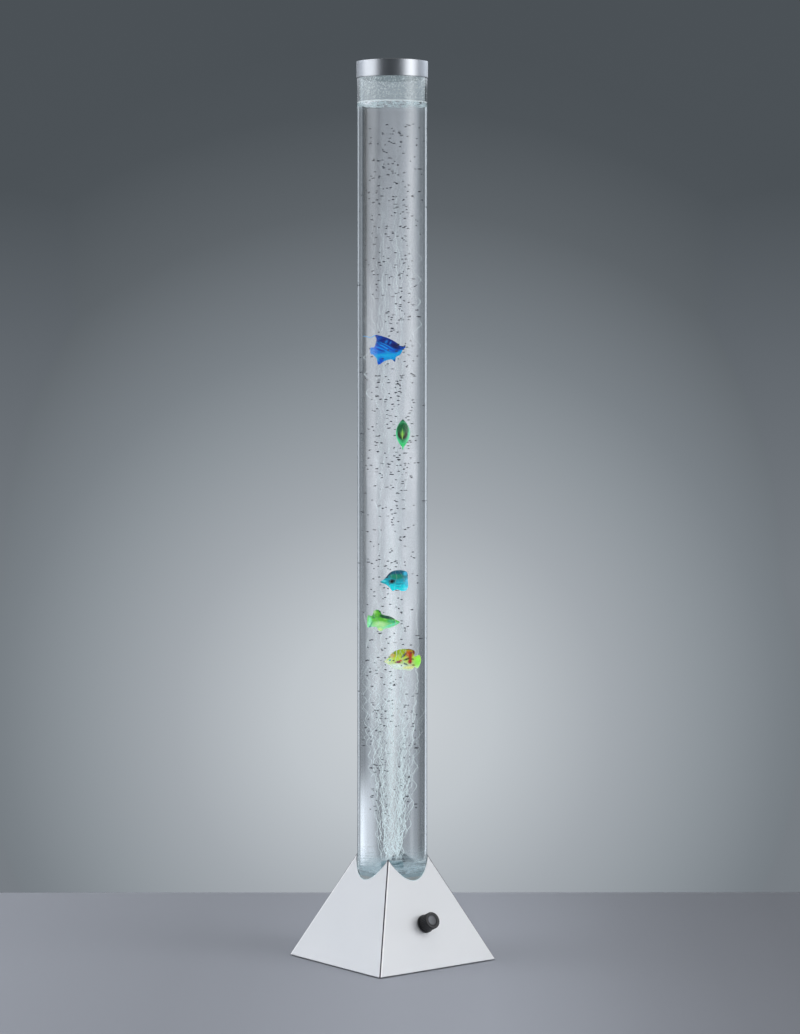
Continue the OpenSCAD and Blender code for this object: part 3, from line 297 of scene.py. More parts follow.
# Patches of the water that are lighter or darker: the bearings between which each sets in and ends, the
# heights between which it changes, and its amounts at these two heights
PATCHES = [((10, 34), (42, 47), (-0.152, -0.134), (0.6, 0)),
           ((24, 38), (42, 47), (-0.162, -0.138), (0.42, 0)),
           ((24, 28), (33, 37), (-0.10, -0.07), (0.11, 0)), ((34, 37), (43, 47), (-0.03, 0.02), (0, 0.12)),
           ((6, 12), (26, 30), (-0.01, 0.04), (0, -0.12)),
           ((-19, -14), (10, 16), (-0.15, -0.11), (-0.17, 0)),
           ((-50, -45), (-23, -16), (-0.10, -0.07), (-0.17, 0))]
WATER_SHADE = 0.18
LEAST_LIGHT = 0.01
in_metal = by_bearing(IN_METAL) * world.band(height, (0.088, 0.098), (0.2, 0.3))
in_water = by_bearing(IN_WATER) - WATER_SHADE
for sets_in, ends, heights, amounts in PATCHES:
    in_water = in_water + world.band(bearing, sets_in, ends) * world.steps(height, *heights, *amounts)
extra = in_metal * in_gloss * (1.0 - through_clear) + in_water * through_clear
tinted = world.add("ShaderNodeVectorMath", {"operation": "MULTIPLY"}, [extra, (0.92, 0.99, 1.09)])
lighter = world.add("ShaderNodeVectorMath", {"operation": "MAXIMUM"}, [lighter + tinted, (LEAST_LIGHT,) * 3])
beyond_floor = to_eye * world.steps(height, -0.25, -0.02, 1.0, 0.0)
beyond_floor = beyond_floor * world.steps(forwards, 0.5, 0.8, 1.0, 0.0)
lighter = world.mix(beyond_floor, lighter, light_of(146, 150, 159))
seen = world.add("ShaderNodeMath", {"operation": "MINIMUM"}, [to_eye + in_gloss + through_clear, 1.0])
EVEN_LIGHT = 0.42
plain = world.add("ShaderNodeBackground", {}, [(0.96, 0.98, 1.0), EVEN_LIGHT])
shown = world.add("ShaderNodeBackground", {}, [lighter, 1.0])
both = world.add("ShaderNodeMixShader", {}, [seen, plain, shown])
world.add("ShaderNodeOutputWorld", {}, {"Surface": both})
bpy.context.scene.view_settings.view_transform = "Standard"

# %% [markdown]
# Two tall soft boxes light the lamp, a bright one to the right and a wide weaker one to the left. They give
# the cap its two bright bands and the tube its long highlight. One more hangs overhead for the floor.

# %% Soft boxes
# Metres by which each light of a box stands behind the last, and by which the narrowest would stand higher
LIGHT_STEP, LIGHT_RISE = 0.01, 0.8


def soft_box(name, turn, distance, low, high, width, radiance, edges=(1.0,), tint=(1, 1, 1)):
    """Area lights that face the lamp, one behind the other, each narrower and higher than the last, so that
    together they have soft edges. Turn is the angle from the camera's side, to the right, in degrees."""
    a = math.radians(turn)
    out = to_camera * math.cos(a) + to_right * math.sin(a)
    for k, share in enumerate(edges):
        light = bpy.data.lights.new(f"{name}_{k}", "AREA")
        foot = low + LIGHT_RISE * (1 - share)
        light.shape, light.size, light.size_y = "RECTANGLE", width * share, high - foot
        light.energy = radiance / len(edges) * math.pi * width * share * (high - foot)
        light.color = tint
        lamp = bpy.data.objects.new(light.name, light)
        bpy.context.scene.collection.objects.link(lamp)
        lamp.location = out * (distance + LIGHT_STEP * k) + Vector((0, 0, (foot + high) / 2))
        lamp.rotation_euler = (-out).to_track_quat("-Z", "Y").to_euler()
        lamp.visible_camera = lamp.visible_transmission = False


soft_box("key_light", 63, 2.3, 0.25, 2.75, 2.2, 3.3, (1.0, 0.82, 0.66, 0.5, 0.34, 0.2))
soft_box("fill_light", -78, 2.4, 0.25, 2.75, 2.9, 1.68, (1.0, 0.8, 0.6), (0.975, 0.985, 1.0))
overhead = bpy.data.lights.new("overhead", "AREA")
overhead.shape, overhead.size, overhead.size_y, overhead.energy = "RECTANGLE", 2.4, 2.4, 14.0
top_lamp = bpy.data.objects.new("overhead", overhead)
bpy.context.scene.collection.objects.link(top_lamp)
top_lamp.location, top_lamp.visible_camera, top_lamp.visible_transmission = (0, 0, 3.4), False, False

# %% [markdown]
# The floor is a plain plane. It ends in a soft line half a metre behind the lamp, where the wall of the
# photograph stands, and fades out far to the sides.

# %% Floor
def quads(rows, columns, close_rows=False, close_columns=True):
    """Corner numbers of the faces between neighbours in a grid. A closed direction joins its ends."""
    r = np.arange(rows if close_rows else rows - 1)
    c = np.arange(columns if close_columns else columns - 1)
    r, c = (a.ravel() for a in np.meshgrid(r, c, indexing="ij"))
    up, on = (r + 1) % rows, (c + 1) % columns
    return np.stack([r * columns + c, r * columns + on, up * columns + on, up * columns + c], 1)


def mesh_of(name, parts, finish):
    """One mesh object from parts, each a dict with points, faces and marks, which are numbers or colours on
    the points. Faces have four corners, and doubled points at poles and seams are merged."""
    count = np.cumsum([0] + [len(p["points"]) for p in parts])
    points = np.concatenate([p["points"] for p in parts])
    faces = np.concatenate([p["faces"] + n for p, n in zip(parts, count)])
    mesh = bpy.data.meshes.new(name)
    mesh.vertices.add(len(points))
    mesh.vertices.foreach_set("co", points.astype(np.float32).ravel())
    mesh.loops.add(faces.size)
    mesh.loops.foreach_set("vertex_index", faces.astype(np.int32).ravel())
    mesh.polygons.add(len(faces))
    mesh.polygons.foreach_set("loop_start", np.arange(0, faces.size, 4, dtype=np.int32))
    mesh.polygons.foreach_set("use_smooth", np.ones(len(faces), bool))
    mesh.update(calc_edges=True)
    for mark in parts[0].get("marks", {}):
        values = np.concatenate([np.asarray(p["marks"][mark], np.float32) for p in parts])
        if values.ndim == 1:
            mesh.attributes.new(mark, "FLOAT", "POINT").data.foreach_set("value", values)
        else:
            full = np.concatenate([values, np.ones((len(values), 1), np.float32)], 1)
            mesh.attributes.new(mark, "FLOAT_COLOR", "POINT").data.foreach_set("color", full.ravel())
    obj = bpy.data.objects.new(name, mesh)
    bpy.context.scene.collection.objects.link(obj)
    obj.data.materials.append(finish.owner)
    merge(obj)
    return obj


def merge(obj):
    """Merges points that lie on each other, which closes poles and seams, and turns all faces outward."""
    bm = bmesh.new()
    bm.from_mesh(obj.data)
    bmesh.ops.remove_doubles(bm, verts=bm.verts, dist=1e-7)
    bmesh.ops.recalc_face_normals(bm, faces=bm.faces)
    bm.to_mesh(obj.data)
    bm.free()


floor_finish = new_finish("floor")
spot = floor_finish.place()
outwards = floor_finish.add("ShaderNodeVectorMath", {"operation": "LENGTH"}, [spot], 1)
kept = floor_finish.steps(floor_finish.dot(spot, -to_camera), 0.511, 0.523, 1.0, 0.0)
kept = kept * floor_finish.steps(outwards, 1.9, 3.2, 1.0, 0.0)
FLOOR_GREY = np.array(light_of(168, 172, 182))
# Painted light and shade on the floor: how bright its grey is, by metres to the right of the lamp. It is
# brightest at the foot, has a painted shade to its left, and falls off to the right.
FALL_HALF = 0.6
FALL_OFF = [(-FALL_HALF, 0.97), (-0.43, 0.9), (-0.3, 0.86), (-0.2, 0.89), (-0.1, 0.97), (0, 1.03),
            (0.13, 1.03), (0.245, 0.87), (0.355, 0.69), (0.46, 0.57), (FALL_HALF, 0.48)]
stops = [(0.5 + 0.5 * aside / FALL_HALF, tuple(FLOOR_GREY * level)) for aside, level in FALL_OFF]
floor_painted_light = floor_finish.ramp(floor_finish.dot(spot, to_right) * (0.5 / FALL_HALF) + 0.5, stops)
matte = floor_finish.add("ShaderNodeBsdfPrincipled", {}, {"Base Color": floor_painted_light, "Roughness": 0.6,
                                                          "Specular IOR Level": 0.25})
clear = floor_finish.add("ShaderNodeBsdfTransparent")
floor_finish.show(floor_finish.add("ShaderNodeMixShader", {}, [kept, clear, matte]))
line = np.linspace(-4, 4, 9)
across, along = np.meshgrid(line, line)
floor = mesh_of("floor", [{"points": np.stack([across, along, 0 * across], -1).reshape(-1, 3),
                           "faces": quads(9, 9, close_columns=False)}], floor_finish)
floor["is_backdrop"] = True

# %% [markdown]
# The foot is a pyramid of steel sheet with straight edges, cut off by the tube's round hole, so its rim rises
# in a point at each edge and dips in a U on each face. Every line from the floor up to the hole is straight,
# which gives the whole sheet as one grid: round the foot by one number and up the slope by the other.

# %% Steel foot
SEAM_DEEP, SEAM_WIDE = 0.35 * MM, 0.6 * MM
RIM_BAND, RIM_OUT, RIM_DIP = 0.7 * MM, 0.25 * MM, 0.12 * MM
HOLE_R = 50.5 * MM
# Thickness of the sheet, measured along the floor
SHEET = 1.325 * MM
# Height above its lower edge at which the four faces would meet
APEX_H = 224.5 * MM


def square_reach(turn, sharp=260.0):
    """How far a square of half width 1 reaches at an angle t: (|cos t|^p + |sin t|^p)^(-1/p). A large p
    leaves its corners only slightly round."""
    return (np.abs(np.cos(turn)) ** sharp + np.abs(np.sin(turn)) ** sharp) ** (-1 / sharp)


def slope_point(half, turn, sunk=0.0):
    """A point of the pyramid's face where its section is a square of this half width, less a shallow groove
    along each edge: depth = sunk * exp(-(d / w)^2), d being the distance from the edge's line."""
    reach = half * square_reach(turn)
    corner = np.pi / 4 + np.pi / 2 * np.floor(turn / (np.pi / 2))
    side = reach * np.sin(turn - corner)
    reach = reach - sunk * np.exp(-(side / SEAM_WIDE) ** 2)
    z = cover_low + APEX_H * (1 - half / cover_half)
    return np.stack([reach * np.cos(turn), reach * np.sin(turn), z], -1)


near_edge = np.array([0.15, 0.35, 0.6, 0.9, 1.3, 1.9, 2.8, 4.5, 7.5, 12, 18, 25, 33, 42, 52, 63, 75, 88,
                      102.0]) * MM
offsets = np.concatenate([-near_edge[::-1], [0], near_edge])
aslant = np.abs(offsets) / np.sqrt(2)
quarter = np.pi / 2 - np.arctan2(cover_half * np.sqrt(2) - aslant, aslant)
quarter = np.clip(np.sign(offsets) * quarter, -np.pi / 4, np.pi / 4 - 1e-6)
turns = (np.pi / 4 + np.arange(4)[:, None] * np.pi / 2 + quarter[None, :]).ravel()
rim_half = HOLE_R / square_reach(turns)
SLOPE_SHARES = (0, 0.008, 0.15, 0.3, 0.45, 0.6, 0.75, 0.9, 0.992, 1.0)
rows = [slope_point(cover_half + (rim_half + RIM_BAND - cover_half) * share, turns, SEAM_DEEP)
        for share in SLOPE_SHARES]
rim = slope_point(rim_half, turns)
out = np.stack([np.cos(turns), np.sin(turns), 0 * turns], -1)
rows += [rim + out * RIM_OUT - [0, 0, RIM_DIP], rim - [0, 0, RIM_BAND]]
rows += [slope_point(0 * turns + half, turns) - out * SHEET * square_reach(turns)[:, None]
         for half in (rim_half + SHEET, 0.8 * cover_half, cover_half)]
grid = np.stack(rows)
lip = np.zeros(grid.shape[:2])
lip[10:13] = 1.0
cusp = np.broadcast_to((rim[:, 2] - rim[:, 2].min()) / np.ptp(rim[:, 2]), grid.shape[:2])
seam = np.broadcast_to(np.concatenate([quarter] * 4)[None], grid.shape[:2])
span = np.hypot(grid[..., 0], grid[..., 1])
steel = new_finish("satin_steel")
place = steel.place()
from_seam, right_of_it = steel.mark("from_seam", 2), steel.mark("right_of_seam", 2)
on_lip, up_rim = steel.mark("lip", 2), steel.mark("cusp", 2)
brush = steel.noise(place, 3.0, 3.0, 0.6, (9, 9, 420))
tone = steel.mix(steel.noise(place, 9.0), light_of(219, 221, 224), light_of(228, 229, 231))
tone = steel.mix(steel.steps(from_seam, 0.6, 1.2, 1.0, 0.0), tone, light_of(58, 48, 60))
# A painted highlight runs just to the right of each seam.
seam_painted_highlight = steel.band(from_seam, (1.2, 1.5), (2.0, 2.9)) * right_of_it
tone = steel.mix(seam_painted_highlight * 0.8, tone, (1.0, 1.0, 1.0))
# Painted light and shade on the rim round the hole: pale where the light in the tube falls on it at the bottom
# of each U, dark at the points. The lower rim also glows, which is painted light.
rim_painted_light_and_shade = steel.mix(steel.steps(up_rim, 0.45, 0.8), light_of(232, 242, 246), light_of(50, 64, 74))
tone = steel.mix(on_lip * 0.9, tone, rim_painted_light_and_shade)
glow = steel.mix(on_lip * steel.steps(up_rim, 0.2, 0.6, 1.0, 0.0), (0, 0, 0), light_of(190, 214, 222))
steel.skin(Base_Color=tone, Metallic=0.35, Roughness=0.42 + brush * 0.1,
           Normal=steel.bump(brush, 0.12, 0.0004), Emission_Color=glow, Emission_Strength=0.6)
cover = mesh_of("steel_foot", [{"points": grid.reshape(-1, 3),
                                "faces": quads(*grid.shape[:2], close_rows=True),
                                "marks": {"from_seam": np.abs(span * np.sin(seam) / MM).ravel(),
                                          "right_of_seam": (seam > 0).astype(float).ravel(),
                                          "lip": lip.ravel(), "cusp": cusp.ravel()}}], steel)
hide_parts("base_cover")
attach(cover, "lamp")
rim_low, rim_high = rim[:, 2].min() / MM, rim[:, 2].max() / MM
print("foot:", grid.shape, "rim from", round(rim_low, 1), "to", round(rim_high, 1), "mm")

# %% [markdown]
# Round pieces are turned like pots on a wheel: a profile of radii and heights is carried round the axis.
# Each point is (r cos t, r sin t, z), so a whole piece is two outer products.

# %% Turned pieces
def turned(profile, steps, closed=True, dent=None):
    """Points and faces of a profile [(r, z), ...] carried round the axis: x = r cos t, y = r sin t. The dent
    gives how far each point moves inwards, from its profile number and its angle."""
    profile = np.asarray(profile, float)
    t = np.arange(steps) * 2 * np.pi / steps
    r = np.repeat(profile[:, :1], steps, 1)
    if dent is not None:
        r = r - dent(np.arange(len(profile))[:, None], t[None, :])
    points = np.stack([r * np.cos(t), r * np.sin(t), np.repeat(profile[:, 1:], steps, 1)], -1)
    return {"points": points.reshape(-1, 3), "faces": quads(len(profile), steps, close_rows=closed)}


def soft_corners(profile, cut, steps=3):
    """A closed profile with rounded corners: each corner c gives a (1-s)^2 + 2 c s (1-s) + b s^2 between the
    points a and b at distance cut from it. A further point on each side keeps the shading there straight."""
    p = np.asarray(profile, float)
    before, after = np.roll(p, 1, 0) - p, np.roll(p, -1, 0) - p
    size = [np.minimum(cut / np.linalg.norm(v, axis=1), 0.45) for v in (before, after)]
    a, b = p + before * size[0][:, None], p + after * size[1][:, None]
    s = np.linspace(0, 1, steps + 1)[None, :, None]
    curve = a[:, None] * (1 - s) ** 2 + p[:, None] * 2 * s * (1 - s) + b[:, None] * s ** 2
    far = [p + v * np.minimum(2 * k, 0.48)[:, None] for v, k in zip((before, after), size)]
    return np.concatenate([far[0][:, None], curve, far[1][:, None]], 1).reshape(-1, 2)


acrylic = new_finish("clear_acrylic")
place = acrylic.place()
acrylic.skin(Base_Color=acrylic.mix(acrylic.noise(place, 6.0), (0.982, 0.989, 0.991), (0.99, 0.995, 0.996)),
             Roughness=0.0, IOR=1.49, Transmission_Weight=1.0)
wall = soft_corners([(tube_r, tube_low), (tube_r, tube_high), (bore_r + 0.05 * MM, tube_high),
                     (bore_r + 0.05 * MM, tube_low)], 0.8 * MM)
tube = mesh_of("water_tube", [turned(wall, 224)], acrylic)
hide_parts("tube")
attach(tube, "lamp")
tube.visible_shadow = False
print("tube wall:", len(tube.data.polygons), "faces")

# %% [markdown]
# The water fills the tube to two fingers' width under the cap. Its skin reaches just into the wall, so that
# light goes from acrylic to water with no air between, and its top has small waves from the rising bubbles.

# %% Water
WATER_R = bore_r + 0.2 * MM
water_finish = new_finish("water")
cloudy = water_finish.noise(water_finish.place(), 4.0)
water_finish.skin(Base_Color=water_finish.mix(cloudy, (0.965, 0.98, 0.986), (0.975, 0.988, 0.992)),
                  Roughness=0.0, IOR=1.333, Transmission_Weight=1.0)


# Ring waves on the water, in millimetres: their middle, their height, k and p
WAVES = [(4, -3, 0.5, 0.42, 0.3), (-14, 9, 0.35, 0.61, 1.4), (19, 12, 0.3, 0.5, 2.2), (-6, -22, 0.3, 0.7, 0.9)]


def waves(x, y):
    """Height of the water's top: ring waves, each h sin(k r + p) about its middle, and a rise at the wall."""
    z = 0 * x
    for cx, cy, size, k, phase in WAVES:
        z = z + size * MM * np.sin(k * np.hypot(x / MM - cx, y / MM - cy) + phase)
    edge = np.hypot(x, y) / bore_r
    return z + 1.6 * MM * np.clip((edge - 0.93) / 0.07, 0, 1) ** 2


deep = water_top - disc_top
levels = disc_top + np.array([0.1 * MM, 0.5 * MM, 0.25 * deep, 0.5 * deep, 0.75 * deep, deep - 0.6 * MM,
                              deep])
side = np.stack([np.full(len(levels), WATER_R), levels], 1)
top = np.stack([np.linspace(WATER_R * 0.985, 0, 26), np.full(26, water_top)], 1)
body = turned(np.concatenate([[[0, levels[0]]], side, top]), 192, closed=False)
p = body["points"]
at_top = p[:, 2] >= water_top - 1e-9
p[at_top, 2] += waves(p[at_top, 0], p[at_top, 1])
water = mesh_of("water", [body], water_finish)
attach(water, "lamp")
water.visible_shadow = False
print("water up to", round(p[:, 2].max() / MM, 1), "mm")

# %% [markdown]
# The metal cap is turned sheet, and the knob is turned and fluted plastic. The knob sits square to the front
# face, so its grid is made about its own axis and then put in the face's frame.

# %% Cap and knob
cap_finish = new_finish("cap_metal")
turning = cap_finish.noise(cap_finish.place(), 2.0, 3.0, 0.5, (2, 2, 900))
cap_finish.skin(Base_Color=cap_finish.mix(turning, light_of(142, 144, 147), light_of(152, 154, 157)),
                Metallic=1.0, Roughness=0.26 + turning * 0.08, Normal=cap_finish.bump(turning, 0.15, 0.0003))
cap_in, cap_under = cap_r - 0.6 * MM, cap_top - 1.0 * MM
shape = [(0, cap_top), (cap_r, cap_top), (cap_r, cap_low), (cap_in, cap_low), (cap_in, cap_under),
         (0, cap_under)]
rounded = soft_corners(shape, 0.7 * MM)
rounded = np.concatenate([[[0, cap_top]], rounded[rounded[:, 0] > 1e-9], [[0, cap_under]]])
cap = mesh_of("cap_shell", [turned(rounded, 160, closed=False)], cap_finish)
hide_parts("cap")
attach(cap, "cap")

knob_finish = new_finish("black_knob")
grain = knob_finish.noise(knob_finish.place(), 260.0, 3.0)
# The knob is black. On its dish lies a painted grey highlight, brighter to the upper left and shaded to the
# right.
knob_painted_dish_light = knob_finish.mix(knob_finish.mark("dish", 2), (0.012, 0.012, 0.014), light_of(128, 131, 137))
knob_finish.skin(Base_Color=knob_painted_dish_light, Roughness=0.34 + grain * 0.12, Specular_IOR_Level=0.5,
                 Normal=knob_finish.bump(grain, 0.1, 0.0002))
KNOB_ASIDE, KNOB_H = -3.0 * MM, 60.0 * MM
knob_at = np.array([KNOB_ASIDE, -cover_half * (1 - (KNOB_H - cover_low) / APEX_H), KNOB_H])
face_tilt = math.atan(APEX_H / cover_half)
FLUTES, FLUTE_R = 28, 0.7 * MM
waist = 12.0
knob_profile = np.array([
    (8.0, 0.6), (12.4, 0.6), (12.85, 0.75), (13.0, 1.2), (13.0, 3.0), (12.8, 3.45), (12.3, 3.6), (11.0, 3.65),
    (10.7, 3.8), (10.7, 4.2), (11.0, 4.35), (waist, 4.45), (waist, 5.2), (waist, 8), (waist, 12), (waist, 16),
    (waist, 18.9), (11.85, 19.45), (11.45, 19.85), (10.8, 20.0), (9.0, 20.0), (7.7, 19.95), (7.28, 19.75),
    (7.05, 19.2), (6.8, 18.5), (6.2, 18.25), (5.0, 18.3), (2.5, 18.4), (0, 18.4)]) * MM
fluted = np.zeros(len(knob_profile))
fluted[12:17] = 1.0
fluted[[11, 17]] = 0.6


def flute_dent(row, t):
    """Depth of the flutes: sqrt(R^2 - d^2) within R of each flute's line, d being the way round from it."""
    way = 2 * np.pi / FLUTES
    d = waist * MM * (np.mod(t + way / 2, way) - way / 2)
    return fluted[row] * np.sqrt(np.clip(FLUTE_R ** 2 - d ** 2, 0, None))


knob_grid = turned(knob_profile, FLUTES * 12, closed=False, dent=flute_dent)
c, s = math.cos(face_tilt), math.sin(face_tilt)
tilt = np.array([[1, 0, 0], [0, c, -s], [0, s, c]])
p = knob_grid["points"]
# Share of the painted highlight on the dish: lighter upwards and to the left.
dish = (np.hypot(p[:, 0], p[:, 1]) < 7.1 * MM) & (p[:, 2] > 17 * MM)
dish = dish * (0.62 - 0.055 * (p[:, 0] - 0.5 * p[:, 1]) / MM)
knob_grid["points"] = p @ tilt.T + knob_at
knob_grid["marks"] = {"dish": np.clip(dish, 0, 1)}
knob = mesh_of("dimmer_knob", [knob_grid], knob_finish)
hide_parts("knob")
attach(knob, "knob")
print("cap:", len(cap.data.polygons), "faces; knob:", len(knob.data.polygons), "faces")

# %% [markdown]
# Each fish is a flat toy of soft coloured plastic: a thin outline with fins and a rounded body through it.
# The outlines are the solids' own. A fish is one closed grid, round its outline by one number and from its
# middle out to the rim and back on the other side by the other. The body swells up from the rim.

# %% Outlines of the fish, as shares of their length, from the nose back over the top
OUTLINES = {
    "blue": [(0.5, 0.112), (0.34, 0.152), (0.25, 0.26), (0.09, 0.38), (-0.1, 0.475), (-0.345, 0.534),
             (-0.31, 0.37), (-0.375, 0.11), (-0.5, 0.069), (-0.487, -0.155), (-0.42, -0.175),
             (-0.31, -0.32), (-0.255, -0.534), (-0.08, -0.41), (0.11, -0.345), (0.21, -0.43), (0.24, -0.26),
             (0.352, -0.172), (0.43, 0.01)],
    "cyan": [(0.5, -0.06), (0.37, 0.056), (0.25, 0.24), (0.13, 0.4), (-0.05, 0.478), (-0.3, 0.478),
             (-0.47, 0.37), (-0.484, 0.03), (-0.5, -0.256), (-0.42, -0.456), (-0.25, -0.478), (-0.1, -0.41),
             (0.06, -0.478), (0.16, -0.344), (0.29, -0.189), (0.42, -0.125)],
    "lime": [(0.5, -0.053), (0.38, 0.03), (0.2, 0.165), (0.03, 0.213), (-0.06, 0.26), (-0.1, 0.37),
             (-0.19, 0.432), (-0.29, 0.38), (-0.35, 0.18), (-0.47, 0.185), (-0.5, -0.044), (-0.486, -0.29),
             (-0.38, -0.265), (-0.22, -0.27), (-0.15, -0.406), (-0.06, -0.42), (0.03, -0.33), (0.19, -0.29),
             (0.36, -0.196)],
    "yellow": [(0.5, -0.056), (0.41, 0.05), (0.31, 0.223), (0.19, 0.33), (0.06, 0.378), (-0.1, 0.39),
               (-0.25, 0.36), (-0.32, 0.27), (-0.29, 0.06), (-0.34, 0.03), (-0.44, 0.164), (-0.495, 0.05),
               (-0.487, -0.12), (-0.4, -0.309), (-0.32, -0.22), (-0.27, -0.33), (-0.16, -0.378),
               (-0.04, -0.35), (0.09, -0.335), (0.18, -0.32), (0.29, -0.25), (0.42, -0.12)],
    "green": [(0.5, 0.035), (0.39, 0.08), (0.26, 0.2), (0.1, 0.26), (-0.1, 0.24), (-0.26, 0.13),
              (-0.36, 0.1), (-0.5, 0.17), (-0.46, 0), (-0.5, -0.15), (-0.36, -0.08), (-0.2, -0.14),
              (-0.05, -0.2), (0.12, -0.19), (0.3, -0.1), (0.42, -0.03)]}
BODIES = {"blue": (0.47, -0.4, 0.1, -0.02, 0.26, 0.13), "cyan": (0.46, -0.4, -0.06, 0.02, 0.34, 0.15),
          "lime": (0.48, -0.42, -0.06, -0.05, 0.2, 0.13), "yellow": (0.48, -0.36, -0.06, -0.04, 0.31, 0.13),
          "green": (0.49, -0.42, 0.01, 0, 0.19, 0.16)}
# Length, height above the floor, place sideways in the view, heading, all in mm and degrees
PLACES = {"blue": (39.6, 870.0, -5.2, 12), "green": (44.3, 749.8, 11.5, 0), "cyan": (30.7, 541.4, 2.4, 170),
          "lime": (35.8, 484.5, -9.2, -10), "yellow": (40.4, 428.2, 11.5, 186)}
VIEW_TURN = math.radians(-38.2)
print({name: len(outline) for name, outline in OUTLINES.items()})

# %% [markdown]
# The toys are sprayed and dabbed with paint. A dab is a soft ellipse: its middle, its half length and half
# width, its angle and its colour. Dabs go on in order, over a ground colour that fades from back to belly.

